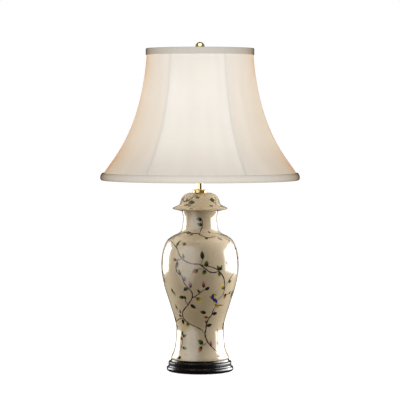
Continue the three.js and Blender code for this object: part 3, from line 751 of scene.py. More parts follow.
def build_base():
    foot, top, rim = extent("wood_base")
    roll = 6.2  # the rounded foot's radius
    band = 73.4
    outline = [
        (BORE, 23), (50, 23), (50, 2), (70.6, 2), (70.6, foot),
        *arc((rim - roll, foot + roll), roll, -88, 72, 16),
        (band + 0.2, foot + 2 * roll + 0.6),
        *arc((band - 0.8, 15.2), 0.8, -60, 0, 4),
        *arc((band - 1.6, 21.9), 1.6, 0, 80, 6),
        *arc((68.2 + 2.4, 26.6), 2.4, 250, 190, 5),
        *arc((67.5 - 1.2, top - 1.2), 1.2, 10, 90, 4),
        (BORE, top),
    ]
    base = lathe("turned_base", outline, 160)
    drill = tube("drill", [(0, 40, CORD_HEIGHT), (0, 90, CORD_HEIGHT)], 4.3, 40)
    place(cut(base, drill), "base", LACQUER, "wood_base", group="base")

    foot, top, rim = extent("felt_pad")
    felt = lathe("felt_disc", [
        (0, foot), (rim - 1, foot), (rim, foot + 0.5), (rim, top), (0, top),
    ], 96)
    place(felt, "base", FELT, "felt_pad")

    back, face = (corner.y for corner in box("cord_bushing"))
    flange = face - 1.5
    gland = lathe("bushing", rounded([
        (3.2, back), (4, back), (4, flange), (5.1, flange),
        (5.1, flange + 0.7), (4.6, face), (3.2, face),
    ], 0.3), 40)
    moved(gland, z=CORD_HEIGHT, turn=-math.pi / 2, axis="X")
    place(gland, "base", PLASTIC, "cord_bushing")

    washer = lathe("pressed_washer", rounded(ring(BORE, 20, *ends("base_washer")), 0.5), 72)
    place(washer, "base", STEEL, "base_washer")

    bottom, top = ends("base_nut")
    corner = 9.5

    def hexagon(radius, height, angle):
        if radius < 7:
            return radius
        from_flat = (angle - SEAM_ANGLE) % (math.pi / 3) - math.pi / 6
        return min(radius, corner * math.cos(math.pi / 6) / math.cos(from_flat))

    nut = lathe("hex_nut", [
        (BORE, bottom), (8.4, bottom), (corner, bottom + 0.9),
        (corner, top - 0.9), (8.4, top), (BORE, top),
    ], 96, radius_at=hexagon, sharp_degrees=20)
    place(nut, "base", STEEL, "base_nut")

    bottom, top = ends("threaded_pipe")
    pipe = lathe("running_thread_pipe", [
        (3.4, bottom), *column(5, bottom, top, 0.25), (3.4, top),
    ], 24, radius_at=thread(1, 0.4, bottom, top, 4), sharp_degrees=80)
    place(pipe, "base", STEEL, "threaded_pipe")


# ------------------------------------------------------------------ porcelain

JAR_LINE = [
    (66.8, 29.3), (66.4, 36), (62.2, 45), (58.2, 58), (56, 84), (55.6, 103), (60.2, 125),
    (71.2, 160), (82, 195), (88.4, 228), (89.3, 253), (85.6, 281), (76.2, 303), (64, 313.5),
    (50, 320.3), (42.8, 328), (40.2, 340), (38.9, 356), (42, 372),
]  # the jar's outer line from its foot to its mouth, radius and height in millimetres

LID_LINE = [
    (63.4, 378.4), (57, 382), (49, 385.6), (46, 389.5), (44.6, 396), (41.6, 402.4),
    (36.6, 408.6), (28, 413),
]  # the lid's line from its brim to its flat top


def build_porcelain():
    outside = catmull(JAR_LINE, 8)
    outside[0].x -= 1.2
    wall = 5
    mouth = outside[-1]
    floor = low("jar") + 7
    inside = [(p.x - wall, p.y) for p in outside[::6] if floor + 4 < p.y < mouth.y - 4]
    jar = lathe("jar_body", [
        *outside,
        mouth + Vector((-1.5, 0)),
        (mouth.x - wall, mouth.y),
        *inside[::-1],
        (54, floor),
        (BORE, floor),
        (BORE, low("jar")),
    ], 192)
    place(jar, "base", PORCELAIN, "jar")

    bottom, top, brim = extent("jar_lid")
    seat = 372.3
    lid = lathe("lid_body", [
        (BORE, top),
        *catmull(LID_LINE, 8)[::-1],
        *arc((brim - 1.2, 377.4), 1.2, 40, -70, 8),
        (61, 375.6), (46, seat), (33.2, seat), (33.2, bottom), (29.6, bottom),
        (31.2, 376), (40, 388), (38.5, 399), (31, 406), (BORE, 408),
    ], 160)
    place(lid, "base", PORCELAIN, "jar_lid", group="lid")


# ------------------------------------------------------------------ painting on the porcelain

ENAMELS = {
    "dark": ((0.003, 0.006, 0.002), (0.036, 0.052, 0.008)),
    "green": ((0.005, 0.012, 0.002), (0.12, 0.17, 0.018)),
    "olive": ((0.03, 0.035, 0.008), (0.24, 0.24, 0.04)),
    "yellow": ((0.06, 0.07, 0.012), (0.85, 0.66, 0.05)),
    "slate": ((0.016, 0.024, 0.014), (0.16, 0.18, 0.10)),
    "teal": ((0.003, 0.022, 0.012), (0.12, 0.21, 0.035)),
    "ember": ((0.004, 0.007, 0.003), (0.60, 0.21, 0.04)),
    "rose": ((0.025, 0.010, 0.008), (0.62, 0.20, 0.27)),
    "mauve": ((0.05, 0.04, 0.07), (0.32, 0.24, 0.30)),
    "coral": ((0.30, 0.10, 0.07), (0.80, 0.40, 0.32)),
    "rust": ((0.05, 0.02, 0.01), (0.38, 0.22, 0.12)),
    "blue": ((0.01, 0.02, 0.14), (0.03, 0.07, 0.42)),
    "gold": ((0.55, 0.36, 0.03), (0.80, 0.62, 0.08)),
    "bronze": ((0.16, 0.10, 0.02), (0.45, 0.30, 0.06)),
}  # each enamel's colour where its stroke starts and where it ends

BARK = (0.050, 0.022, 0.012)
VEIN = 0.72  # how dark a leaf's middle line is beside the rest of it

# how far the enamel stands out of the glaze, in millimetres, and goes into it
VINE_LIFT, LEAF_LIFT, BIRD_LIFT, SUNK = 0.10, 0.16, 0.18, 0.1
FEATHER_STEP = 0.03  # how much further out each of the bird's strokes lies than the last

VINES = [
    (2.8, [(-69, 307), (-52, 299), (-40, 290), (-29, 268), (-14, 256), (-1, 254), (8, 244),
           (14, 237), (22, 235), (30, 236), (38, 222), (42, 205), (43, 190), (40, 180), (33, 170)]),
    (2.8, [(31, 157), (28, 150), (26, 143), (25, 136), (19, 127), (15, 114), (14, 101), (12, 91),
           (17, 75), (26, 64), (37, 53), (42, 49)]),
    (2.1, [(-1, 254), (12, 250), (22, 245), (30, 237)]),
    (2.1, [(43, 196), (47, 209), (53, 220), (60, 229), (67, 242), (73, 255), (77, 268), (75, 284),
           (66, 302), (52, 311), (38, 315)]),
    (2.8, [(12, 92), (1, 103), (-18, 112), (-30, 118), (-38, 127), (-38, 141), (-24, 158),
           (-14, 175), (-13, 188), (-19, 200), (-25, 211), (-28, 226), (-35, 234), (-38, 246),
           (-37, 257), (-33, 266)]),
    (1.9, [(-37, 126), (-47, 126), (-65, 119), (-82, 112), (-97, 104), (-108, 96)]),
    (2.2, [(-14, 176), (-7, 181), (-2, 186), (3, 192), (9, 197)]),
    (2.8, [(-69, 307), (-73, 314), (-62, 321), (-42, 325), (-24, 322), (-8, 322), (3, 318),
           (14, 314), (26, 314), (38, 316)]),
    (1.9, [(-63, 308), (-60, 316), (-48, 322)]),
    (2.2, [(34, 323), (46, 322), (58, 320), (70, 315), (80, 309), (90, 304), (101, 304), (111, 307)]),
    (1.9, [(-3, 321), (2, 328), (7, 338), (7, 350), (2, 358)]),
    (1.9, [(-44, 88), (-45, 76), (-47, 62), (-52, 48), (-56, 38)]),
    (1.9, [(49, 94), (48, 84), (47, 74)]),
    (1.4, [(64, 70), (61, 58), (58, 48)]),
    (1.4, [(42, 182), (47, 184), (55, 182), (62, 187), (76, 190), (90, 197), (102, 206)]),
    (1.4, [(-40, 291), (-42, 294), (-41, 299)]),
    (1.4, [(-29, 264), (-35, 263), (-38, 261)]),
    (1.4, [(8, 243), (-1, 244), (-4, 242)]),
    (1.4, [(-22, 160), (-26, 167), (-27, 174)]),
    (1.4, [(-14, 176), (-9, 178), (-5, 176)]),
    (1.4, [(15, 70), (9, 67), (5, 65)]),
    (1.2, [(42, 248), (50, 254), (58, 262), (67, 270)]),
    (1.2, [(1, 254), (3, 260), (4, 266)]),
    (1.2, [(78, 268), (88, 262), (97, 250), (104, 236)]),
    (1.2, [(-82, 112), (-88, 124), (-90, 138)]),
]  # each vine's width in millimetres, and its (angle, height) points on the jar

LEAVES = [
    (4, 265, -5, 20, 9, "dark"), (9, 248, 6, 15, 10, "green"), (-3, 242, -122, 16, 10, "ember"),
    (8, 241, -150, 12, 9, "green"), (30, 239, -28, 14, 8, "green"), (31, 239, 20, 14, 7, "green"),
    (31, 236, -165, 11, 10, "olive"), (13, 314, 180, 8, 8, "dark"), (-27, 322, -78, 18, 8, "green"),
    (-20, 321, -150, 11, 7, "olive"), (-45, 324, -120, 9, 5, "olive"), (-24, 297, -60, 11, 8, "slate"),
    (-42, 295, 35, 9, 6, "dark"), (-42, 299, 42, 14, 5, "olive"), (-66, 303, 195, 13, 6, "slate"),
    (-25, 266, -8, 13, 6, "olive"), (-37, 262, -80, 11, 7, "rust"), (-35, 259, 184, 15, 6, "slate"),
    (-30, 228, -18, 15, 6, "green"), (-26, 214, 24, 14, 7, "mauve"), (-15, 199, 0, 17, 8, "rose"),
    (-19, 200, -112, 14, 9, "dark"), (6, 200, -5, 16, 8, "rose"), (8, 196, 70, 12, 8, "dark"),
    (0, 189, -38, 10, 5, "dark"), (-28, 177, -88, 15, 9, "green"), (-26, 172, -8, 10, 6, "dark"),
    (-6, 177, 130, 15, 10, "yellow"), (-18, 161, 130, 16, 8, "dark"), (-50, 147, -22, 14, 5, "olive"),
    (-44, 138, 6, 11, 6, "mauve"), (-50, 134, 112, 11, 7, "olive"), (-41, 125, 184, 13, 8, "dark"),
    (-28, 117, 196, 15, 9, "yellow"), (-70, 110, 184, 11, 6, "slate"), (-45, 86, -12, 12, 6, "green"),
    (-44, 83, 50, 12, 6, "slate"), (-47, 76, -36, 11, 6, "olive"), (-44, 59, 96, 14, 7, "teal"),
    (-51, 36, 84, 12, 8, "dark"), (7, 68, -46, 16, 10, "green"), (4, 64, 208, 17, 9, "ember"),
    (25, 62, 8, 15, 7, "rose"), (12, 140, -64, 14, 8, "dark"), (17, 130, -84, 11, 6, "ember"),
    (26, 138, 84, 13, 8, "dark"), (15, 117, -32, 8, 5, "rust"), (15, 110, 78, 14, 8, "dark"),
    (42, 195, -48, 15, 9, "yellow"), (49, 213, 94, 12, 9, "olive"), (61, 230, 42, 9, 8, "yellow"),
    (48, 184, 184, 13, 9, "ember"), (57, 184, 62, 9, 6, "olive"), (71, 188, 190, 18, 9, "teal"),
    (70, 104, 10, 13, 7, "dark"), (73, 98, 190, 8, 5, "olive"), (49, 92, -12, 15, 6, "coral"),
    (58, 94, 124, 11, 8, "green"), (38, 313, 140, 15, 7, "mauve"), (30, 322, -25, 9, 6, "rust"),
    (7, 340, -64, 13, 8, "green"), (6, 352, -70, 14, 8, "dark"), (-53, 196, 160, 11, 6, "green"),
    (-50, 190, 150, 12, 5, "olive"), (74, 284, 75, 13, 7, "olive"), (78, 262, -60, 13, 7, "green"),
    (70, 296, -35, 13, 7, "yellow"), (62, 304, 170, 13, 7, "olive"), (88, 305, 160, 15, 8, "dark"),
    (99, 304, 20, 14, 8, "green"), (104, 208, 40, 16, 8, "ember"), (90, 197, 150, 14, 8, "green"),
    (83, 193, 20, 14, 7, "rose"), (104, 236, 160, 16, 8, "dark"), (97, 250, 60, 14, 8, "green"),
    (88, 262, 20, 14, 7, "rose"), (-90, 139, 10, 15, 8, "rose"), (-87, 125, 60, 13, 7, "green"),
    (-87, 122, -70, 13, 7, "dark"), (-97, 104, 170, 13, 8, "dark"), (-74, 116, 20, 14, 8, "green"),
    (-106, 97, -20, 14, 8, "olive"), (47, 74, 200, 10, 6, "slate"), (58, 48, 190, 11, 6, "slate"),
    (44, 252, -20, 9, 5, "slate"), (58, 262, 150, 10, 5, "slate"),
]  # each leaf or bud: its stalk's angle and height, which way it points, length, width, enamel

BIRD = [
    (32, 157, 84, 24, 4, "bronze"), (28, 166, 140, 19, 9, "bronze"), (24, 172, 138, 20, 10, "gold"),
    (22, 175, 124, 21, 9, "blue"), (20, 173, 30, 13, 7, "blue"), (23, 183, 112, 9, 6, "gold"),
    (20, 181, 50, 8, 4, "dark"), (25, 184, 112, 6, 2.5, "dark"), (20, 179, -95, 5, 2.5, "dark"),
]  # the bird's feathers, head and beak, laid one over another

LID_VINES = [
    (2.2, [(2, 411), (-8, 409), (-21, 406), (-33, 400), (-44, 396), (-55, 395), (-66, 398)]),
    (2.2, [(-34, 400), (-34, 392), (-28, 384), (-24, 377)]),
    (1.8, [(30, 400), (42, 394), (52, 388), (60, 383)]),
    (1.8, [(58, 405), (56, 398), (50, 389)]),
    (1.9, [(66, 380), (84, 386), (104, 391), (114, 398)]),
]

LID_LEAVES = [
    (-33, 393, 85, 15, 9, "dark"), (-15, 404, 85, 12, 6, "green"), (-34, 387, -98, 15, 7, "teal"),
    (-24, 379, 88, 12, 6, "slate"), (-22, 377, 100, 14, 5, "green"), (32, 399, 92, 14, 10, "dark"),
    (24, 385, 94, 13, 7, "green"), (60, 384, 140, 10, 6, "olive"), (-64, 398, -60, 9, 5, "olive"),
    (84, 386, 20, 12, 7, "green"), (96, 389, 160, 12, 7, "dark"), (113, 397, 30, 12, 7, "rose"),
    (-46, 396, 20, 9, 5, "rust"),
]


class Glaze:
    """The outside of a turned piece, as a sheet to paint on: angle round it, length up it."""

    def __init__(self, line):
        self.line = line
        self.lengths = [0.0]
        for a, b in zip(line, line[1:]):
            self.lengths.append(self.lengths[-1] + (b - a).length)

    def length_at(self, height):
        """How far up the line the given height is first met."""
        for (a, b), start in zip(zip(self.line, self.line[1:]), self.lengths):
            if a.y <= height <= b.y:
                return start + (b - a).length * (height - a.y) / max(b.y - a.y, 1e-9)
        return self.lengths[-1]

    def at(self, length):
        """The radius and height at a length up the line, and the way out of the surface there."""
        length = max(0.0, min(self.lengths[-1] - 1e-9, length))
        i = max(k for k, start in enumerate(self.lengths[:-1]) if start <= length)
        a, b = self.line[i], self.line[i + 1]
        point = a.lerp(b, (length - self.lengths[i]) / (b - a).length)
        before, after = self.line[max(i - 1, 0)], self.line[min(i + 2, len(self.line) - 1)]
        along = (after - before).normalized()
        return point, Vector((along.y, -along.x))

    def point(self, angle, length, lift):
        """A point in metres, lifted off the surface."""
        at, out = self.at(length)
        at = at + out * lift
        return polar(at.x, angle, at.y)

    def stroke(self, bm, colour, spine, widths, shades, lift):
        """Lays a closed stroke of enamel along a spine of (angle, length) points."""
        layer = bm.loops.layers.float_color["enamel"]
        across = (-1.0, -0.5, 0.0, 0.5, 1.0)
        top, under, hues = [], [], {}
        for i, (angle, length) in enumerate(spine):
            before, after = spine[max(i - 1, 0)], spine[min(i + 1, len(spine) - 1)]
            radius = self.at(length)[0].x
            way = Vector(((after[0] - before[0]) * radius, after[1] - before[1])).normalized()
            rows = []
            for side in across:
                shift = Vector((way.y, -way.x)) * side * widths[i] / 2
                spot = (angle + shift.x / radius, length + shift.y)
                rise = lift * (1 - 0.35 * side * side)
                raised = bm.verts.new(self.point(*spot, rise))
                sunk = bm.verts.new(self.point(*spot, -SUNK))
                vein = VEIN if side == 0 and colour != BARK else 1.0
                hues[raised] = hues[sunk] = [c * vein for c in shades[i]]
                rows.append((raised, sunk))
            top.append([pair[0] for pair in rows])
            under.append([pair[1] for pair in rows])
        corners = []
        spans = range(len(across) - 1)
        for i in range(len(spine) - 1):
            for k in spans:
                corners.append((top[i][k], top[i][k + 1], top[i + 1][k + 1], top[i + 1][k]))
                corners.append((under[i][k + 1], under[i][k], under[i + 1][k], under[i + 1][k + 1]))
            for k, turn in ((0, 1), (-1, -1)):
                side = (top[i][k], top[i + 1][k], under[i + 1][k], under[i][k])
                corners.append(side[::turn])
        for i, turn in ((0, 1), (-1, -1)):
            for k in spans:
                end = (top[i][k + 1], top[i][k], under[i][k], under[i][k + 1])
                corners.append(end[::turn])
        for face in [bm.faces.new(four) for four in corners]:
            for loop in face.loops:
                loop[layer] = (*hues[loop.vert], 1)

    def leaf(self, bm, angle, height, clock, size, breadth, enamel, lift):
        """A pointed leaf or bud, bent a little to one side, in its enamel's two colours."""
        start, end = ENAMELS[enamel]
        steps = 9
        heading = math.radians(clock)
        bend = math.radians(RANDOM.uniform(-22, 22)) / steps
        where = [math.radians(angle), self.length_at(height)]
        spine, widths, shades = [], [], []
        for k in range(steps + 1):
            t = k / steps
            spine.append(tuple(where))
            widths.append(breadth * max(0.06, math.sin(math.pi * t ** 0.85) ** 0.8))
            blend = max(0.0, min(1.0, (t - 0.25) / 0.6))
            shades.append([a + (b - a) * blend for a, b in zip(start, end)])
            step = size / steps
            where[0] += math.sin(heading) * step / self.at(where[1])[0].x
            where[1] += math.cos(heading) * step
            heading += bend
        self.stroke(bm, enamel, spine, widths, shades, lift)

    def vine(self, bm, width, points, lift):
        """A branching stem, uneven in width and tone, with thin ends."""
        marks = [(math.radians(a), self.length_at(h)) for a, h in points]
        spine = [tuple(p) for p in catmull(marks, 8)]
        last = len(spine) - 1
        widths, shades = [], []
        for k in range(last + 1):
            swell = 1 + 0.16 * math.sin(k * 0.9) + 0.1 * math.sin(k * 2.3 + width)
            taper = min(1.0, 0.35 + 3 * min(k, last - k) / last)
            widths.append(width * swell * taper)
            tone = 1 + 0.3 * math.sin(k * 0.37 + width * 5)
            shades.append([c * tone for c in BARK])
        self.stroke(bm, BARK, spine, widths, shades, lift)


def paint(name, glaze, vines, leaves, feathers=(), group=None):
    """Paints the front, and again half a turn round, with thin raised strokes of enamel."""
    bm = bmesh.new()
    bm.loops.layers.float_color.new("enamel")
    for turn in (0, 180):
        for width, points in vines:
            glaze.vine(bm, width, [(a + turn, h) for a, h in points], VINE_LIFT)
        for a, h, *leaf in leaves:
            glaze.leaf(bm, a + turn, h, *leaf, LEAF_LIFT)
        for k, (a, h, *feather) in enumerate(feathers):
            glaze.leaf(bm, a + turn, h, *feather, BIRD_LIFT + FEATHER_STEP * k)
    piece = finish_mesh(name, bm, sharp_degrees=50)
    place(piece, "base", ENAMEL, group=group)


def build_painting():
    paint("jar_painting", Glaze(catmull(JAR_LINE, 8)), VINES, LEAVES, BIRD)
    paint("lid_painting", Glaze(catmull(LID_LINE, 8)), LID_VINES, LID_LEAVES, group="lid")


# ------------------------------------------------------------------ brass neck

def build_neck():
    foot, top, rim = extent("check_ring")
    collar = lathe("spun_check_ring", rounded([
        (BORE, foot), (15.4, foot), (15.9, foot + 1.2), (16.1, top - 3.2),
        (rim, top - 2.2), (rim, top - 0.6), (rim - 0.9, top), (12, top - 0.5),
        (9, top), (BORE, top),
    ], 0.5), 96)
    place(collar, "base", BRASS, "check_ring")

    foot, top, rim = extent("neck_tube")
    neck = lathe("neck", rounded(ring(BORE, rim, foot, top), 0.5), 64)
    place(neck, "base", BRASS, "neck_tube")


# ------------------------------------------------------------------ shade

BELL = [(122.2, 745), (135.8, 530.8), (219.1, 483.2), (228, 446)]  # the Bezier curve down a rib
HEM, RIM = ends("shade_cover")
FLATNESS = 0.6  # of the panels: 0 is round between the ribs, 1 is straight from rib to rib
ROUND_ENDS = 0.3  # the share of the shade's height over which they turn round at its ends


def draw_in(radius, height, angle):
    """Reshapes the round bell into six panels, drawn in between their ribs."""
    share = (height - HEM) / (RIM - HEM)
    inwards = max(0.0, min(1.0, min(share, 1 - share) / ROUND_ENDS))
    flat = FLATNESS * inwards * inwards * (3 - 2 * inwards)
    half = PANEL_ANGLE / 2
    across = (angle - SEAM_ANGLE) % PANEL_ANGLE - half
    straight = radius * math.cos(half) / math.cos(across)
    return radius + (straight - radius) * flat


def skin(name, depth, thickness, start, end, rows):
    """A sheet of cloth at a depth inside the bell, between two shares of its run."""
    line = bezier(BELL, rows, start, end)
    outer = [(p.x - depth, p.y) for p in line]
    inner = [(p.x - depth - thickness, p.y) for p in line[::-1]]
    return lathe(name, outer + inner, 180, radius_at=draw_in)


def build_shade():
    cover = skin("silk_cover", 0, 0.6, 0, 1, 64)
    place(cover, "shade", SILK, "shade_cover", group="cloth")
    lining = skin("shade_liner", 5.2, 0.5, 0.008, 0.94, 48)
    place(lining, "shade", LINING, "shade_lining", group="cloth")

    top = lathe("top_trim_band", rounded([
        (124, 731.6), (124.8, 731.6), (125.2, 733),
        (125.2, 745.6), (124.2, 747), (121, 747),
        (121, 745.3), (124, 745.3),
    ], 0.6), 180)
    place(top, "shade", TRIM, "shade_top_trim", group="cloth")

    bottom = lathe("bottom_trim_roll", [
        (224.6, 445.7), (228.6, 445.7), (227.6, 451.4),
        *catmull([
            (224.4, 459.8), (226.6, 459.2), (229.3, 455.6), (230.5, 450.6),
            (230.4, 446.8), (229, 444), (227, 443),
        ], 4),
        (224.6, 443),
    ], 180)
    place(bottom, "shade", TRIM, "shade_bottom_trim", group="cloth")


# ------------------------------------------------------------------ bulb and finial

def build_bulb():
    neck, top, globe = extent("bulb_glass")
    centre = top - globe
    outline = catmull([
        (12, neck), (12, neck + 14), (15, centre - 59),
        (21.5, centre - 41), (29.5, centre - 22), (globe, centre),
    ], 8)
    outline += arc((0, centre), globe, 5, 90, 20)[:-1]
    bulb = lathe("bulb_envelope", [(0, neck), *outline, (0, top)], 64)
    place(bulb, "bulb", BULB_GLASS, "bulb_glass")

    bottom, top, rim = extent("bulb_screw_base")
    screw = lathe("bulb_cap_thread", [
        (12.3, bottom), (rim - 0.8, bottom),
        *column(rim, bottom + 0.8, top - 3, 0.45),
        (rim - 0.4, top - 2), (rim - 0.4, top), (12.3, top),
    ], 72, radius_at=thread(BULB_PITCH, 0.6, bottom + 1, top - 3.4, 12.8))
    place(screw, "bulb", ALUMINIUM, "bulb_screw_base")
    bottom, top = ends("bulb_insulator")
    insulator = lathe("bulb_cap_glass", [
        (0, bottom), (4.6, bottom), *arc((5, bottom + 0.6), 0.6, -80, -40, 3),
        (11.2, top - 0.5), (11.4, top), (0, top),
    ], 64)
    place(insulator, "bulb", PLASTIC, "bulb_insulator")
    bottom, top = ends("bulb_contact")
    button = lathe("bulb_cap_button", [
        (0, bottom), (2.6, bottom), *arc((3.2, bottom + 1), 1, -80, 0, 5),
        (4.2, top), (0, top),
    ], 48)
    place(button, "bulb", ALUMINIUM, "bulb_contact")

    foot, peak = ends("bulb_stem")
    stem = lathe("glass_stem", [
        (0, foot), (9, foot), *catmull([
            (8.6, foot + 2), (5, foot + 8), (3.2, foot + 20),
            (2.4, peak - 2),
        ], 6), *arc((1.2, peak - 1.2), 1.2, 10, 90, 4), (0, peak),
    ], 48)
    place(stem, "bulb", GLASS, "bulb_stem")

    coil = []
    turns, steps = 60, 600
    foot = low("bulb_filament") + 1
    for k in range(steps + 1):
        side = 2 * k / steps - 1
        spin = 2 * math.pi * turns * k / steps
        rise = 14.6 * abs(side) ** 1.3
        coil.append((14 * side, 0.45 * math.cos(spin), foot + rise + 0.3 * math.sin(spin)))
    place(tube("coiled_filament", coil, 0.12, 6), "bulb", TUNGSTEN, "bulb_filament")


def build_finial():
    bore = 3.3
    flat, top, ball = extent("finial_ball")
    sphere = lathe("finial_globe", [
        (0, flat + 2), (bore, flat + 2), (bore, flat),
        *arc((0, top - ball), ball, -61, 89.5, 40), (0, top),
    ], 96)
    foot, top = ends("finial_base")
    stem = lathe("finial_foot", rounded([
        (bore, foot), (7.6, foot), (7.6, foot + 2), (5, foot + 4),
        (4.6, foot + 7), (5.4, top), (bore, top),
    ], 0.6), 64)
    for piece, node in ((sphere, "finial_ball"), (stem, "finial_base")):
        place(piece, "finial", BRASS, node, group="finial")


# ------------------------------------------------------------------ saddle and socket

def build_saddle():
    bottom, post_top = ends("harp_saddle")
    thick, half_wide = 1.6, 6
    end_rounding = 0.6
    seat = bottom + 4
    line = catmull([
        (0, bottom), (9, bottom), (13, bottom + 0.6), (20, seat - 0.6),
        (24, seat), (32.9, seat),
    ], 6)
    spine = [Vector((-p.x, p.y)) for p in line[:0:-1]] + line
    bm = bmesh.new()
    rings = []
    for point in spine:
        past = max(0.0, half_wide - (spine[-1].x - abs(point.x)))
        narrowing = half_wide - math.sqrt(half_wide ** 2 - past ** 2)
        half = half_wide - end_rounding * narrowing
        section = rounded([(-half, 0), (half, 0), (half, thick), (-half, thick)], 0.4, 3)
        corners = [Vector((point.x, p.x, point.y + p.y)) * MM for p in section]
        rings.append([bm.verts.new(corner) for corner in corners])
    span_rings(bm, rings)
    strip = finish_mesh("strip", bm)
    hole = tube("drill", [(0, 0, bottom - 5), (0, 0, bottom + 9)], BORE, 40)
    strip = cut(strip, hole)
    posts = []
    for side in (-1, 1):
        post = lathe("post", [
            (0, seat + 0.8), (2.2, seat + 0.8), (2.2, post_top - 0.6),
            (1.6, post_top), (0, post_top),
        ], 32)
        posts.append(moved(post, x=side * LEG_X))
    place(join("pressed_saddle", strip, *posts), "base", BRASS, "harp_saddle")


def build_socket():
    bottom, top, rim = extent("socket_cap")
    cap = lathe("spun_cap", [
        (BORE, bottom), (7.4, bottom), (8, bottom + 0.6),
        *catmull([(8, 454.6), (9.6, 456.8), (13.5, 458.7), (17.2, 463), (18.4, 467)], 6),
        (rim, 468.4), (rim, top - 0.5), (rim - 0.4, top), (17.6, top),
        (17.6, 466.5), (12.6, 460.5), (BORE, 458.5),
    ], 96)
    place(cap, "base", BRASS, "socket_cap")

    switch = centre_of("switch_shaft").z

    def shaft_drill():
        return tube("drill", [(0, -26, switch), (0, -4, switch)], 2.6, 32)

    bottom, top, rim = extent("socket_shell")
    wall = 0.5
    side = rim - 1
    bead = 498
    shell = lathe("socket_barrel", [
        (side - wall, bottom), (side, bottom), (side, bead - 14), (side - 0.1, bead - 1.4),
        *arc((side - 0.1, bead), 0.7, -60, 60, 6), (side, bead + 1.4), (side, top - 5),
        (side + 0.5, top - 4), (rim - 0.1, top - 3), (rim, top - 1),
        *arc((rim - 0.5, top - 0.5), 0.5, 0, 180, 6), (rim - 1.1, top - 2.6),
        (side - wall, top - 4.6),
    ], 96)
    place(cut(shell, shaft_drill()), "base", BRASS, "socket_shell")

    bottom, top, rim = extent("insulating_sleeve")
    paper = lathe("paper_sleeve", rounded(ring(rim - 0.8, rim, bottom, top), 0.2), 96)
    place(cut(paper, shaft_drill()), "base", BOARD, "insulating_sleeve")

    bottom, top = ends("socket_body")
    body = lathe("moulded_body", [
        (0, bottom), (11.6, bottom), (12, bottom + 0.4), (12, top - 4.4),
        (12.4, top - 4), (14.6, top - 4), (15, top - 3.6),
        (15, top - 0.4), (14.6, top), (0, top),
    ], 72)
    place(cut(body, shaft_drill()), "base", PLASTIC, "socket_body")

    bottom, top, rim = extent("socket_screw_shell")
    screw_shell = lathe("screw_shell", [
        *column(rim, bottom, top, 0.45), *column(rim - 0.8, bottom, top, 0.45)[::-1],
    ], 72, radius_at=thread(BULB_PITCH, 0.35, bottom + 1, top - 1, rim - 2))
    place(screw_shell, "base", ALUMINIUM, "socket_screw_shell")

    bottom, top = ends("socket_contact")
    contact = lathe("spring_contact", [
        (0, bottom), (4, bottom), (4, bottom + 0.5), (3.2, top - 0.2),
        (2, top), (0, top),
    ], 40)
    place(contact, "base", BRASS, "socket_contact")

    for hand, side in (("left", -1), ("right", 1)):
        node = f"terminal_screw_{hand}"
        screw = lathe(f"wire_screw_{hand}", [
            (0, 0), (2.8, 0), (2.8, 1), (2.3, 1.8), (1.2, 2.2),
            (0, 2.2),
        ], 40)
        slot = tube("slot", [(0, -4, 2.3), (0, 4, 2.3)], 0.5, 4)
        moved(cut(screw, slot), turn=side * math.pi / 2, axis="Y")
        moved(screw, x=side * 12.3, z=centre_of(node).z)
        place(screw, "base", BRASS, node)

    front, back = (corner.y for corner in box("switch_shaft"))
    shaft = lathe("turn_shaft", [
        (0, -back), (1.6, -back), (2, -back + 0.4), (2, -front), (0, -front),
    ], 32)
    moved(shaft, z=switch, turn=math.pi / 2, axis="X")
    place(shaft, "switch", BRASS, "switch_shaft")

    front, back = (corner.y for corner in box("switch_knob"))
    ridge_count, ridge_depth = 14, 0.35

    def ridges(radius, height, angle):
        if radius < 4.4 or not -back + 1.6 < height < -front - 0.6:
            return radius
        return radius - ridge_depth * (0.5 + 0.5 * math.cos(ridge_count * angle))

    knob = lathe("ridged_knob", [
        (0, -back), (6, -back), (6.4, -back + 0.4), (6.4, -back + 1.5),
        (6.35, -back + 1.7), (6, -back + 5), (5.6, -back + 9),
        (5.3, -front - 1.4), (5, -front - 0.4), (4.4, -front), (0, -front),
    ], 112, radius_at=ridges)
    moved(knob, z=switch, turn=math.pi / 2, axis="X")
    place(knob, "switch", PLASTIC, "switch_knob")


# ------------------------------------------------------------------ harp

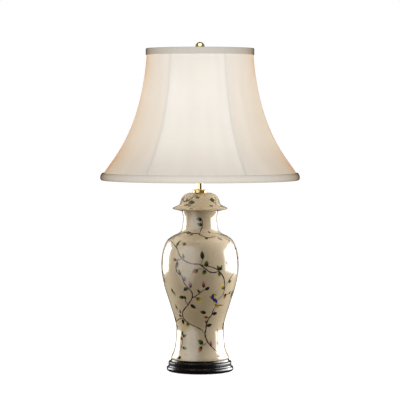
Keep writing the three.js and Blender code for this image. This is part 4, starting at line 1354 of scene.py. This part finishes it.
def build_harp():
    foot, plate_top = ends("harp")
    wire_radius = 2.2
    half = box("harp")[1].x - wire_radius
    straight, widest, flat_top = 484, 605, 721  # heights along the wire
    right = [
        *bezier([(10, flat_top), (42, flat_top), (half, 672), (half, widest)], 24),
        *bezier([(half, widest), (half, 548), (LEG_X, 520), (LEG_X, straight)], 20)[1:],
        (LEG_X, foot),
    ]
    path = [(-x, 0, z) for x, z in right[::-1]] + [(x, 0, z) for x, z in right]
    wire = tube("wire", path, wire_radius, 20)
    hole = 2.8
    plate = lathe("plate", rounded(ring(hole, 8.5, flat_top - 2.4, plate_top), 0.6), 64)
    drill = tube("drill", [(0, 0, flat_top - 5), (0, 0, flat_top + 5)], hole, 40)
    place(join("bent_harp", cut(wire, drill), plate), "harp", BRASS, "harp")

    head, tip = ends("harp_stud")
    neck_bottom, neck_top, seat = 718.3, 723.7, 727.7  # the neck goes through the harp's plate
    stud = lathe("threaded_stud", [
        (0, head), (3.8, head), (4.6, head + 0.8), (4.6, neck_bottom), (2.3, neck_bottom),
        (2.3, neck_top), (6.1, neck_top), (6.5, neck_top + 0.4), (6.5, seat - 0.4), (6.1, seat),
        *column(3, seat, tip - 0.6, 0.2), (2.4, tip), (0, tip),
    ], 48, radius_at=thread(1, 0.4, seat + 1, tip, 2.9))
    place(stud, "stud", BRASS, "harp_stud")

    for hand, side in (("left", -1), ("right", 1)):
        node = f"harp_sleeve_{hand}"
        bottom, top = ends(node)
        grooves = []
        for k in range(4):
            level = bottom + 3 + 1.4 * k
            grooves += [(3.9, level - 0.4), (3.6, level), (3.9, level + 0.4)]
        sleeve = lathe(f"lock_sleeve_{hand}", [
            (2.8, bottom), (3.6, bottom), (3.9, bottom + 0.3), *grooves,
            (3.9, top - 3.4), (3.7, top - 1.5), (3.2, top), (2.8, top),
        ], 48)
        moved(sleeve, x=side * LEG_X)
        place(sleeve, f"{hand}_sleeve", BRASS, node)


# ------------------------------------------------------------------ shade frame

def build_shade_frame():
    wire = 1.8
    for end, radius in (("top", 118.9), ("bottom", 223.6)):
        node = f"shade_{end}_ring"
        hoop = lathe(f"{end}_hoop", arc((radius, high(node) - wire), wire, 0, 345, 23), 180)
        place(hoop, "shade", STEEL, node)

    depth = 3.225  # of the ribs' middles, inside the silk
    path = [(0, depth - p.x, p.y) for p in bezier(BELL, 40, 0.012, 0.93)]
    for i in range(PANELS):
        rib = moved(tube(f"rib_wire_{i + 1}", path, 1.25, 12), turn=SEAM_ANGLE + i * PANEL_ANGLE)
        place(rib, "shade", STEEL, f"shade_rib_{i + 1}")

    bottom, top = 728, 729.6
    washer = lathe("washer", rounded(ring(3.6, 12, bottom, top), 0.4), 72)
    arm_radius = 1.6
    inner, outer = (bottom + top) / 2, high("shade_spider") - arm_radius
    line = bezier([(9, inner), (40, inner), (70, outer), (116.8, outer)], 24)
    arms = []
    for i in range(3):
        arm = tube("arm", [(0, -r, z) for r, z in line], arm_radius, 14)
        arms.append(moved(arm, turn=SEAM_ANGLE + 2 * math.pi * i / 3))
    place(join("spider", washer, *arms), "shade", BRASS, "shade_spider")


build_base()
build_porcelain()
build_painting()
build_neck()
build_shade()
build_bulb()
build_finial()
build_saddle()
build_socket()
build_harp()
build_shade_frame()
for link in LINKS:
    link_light(*link)
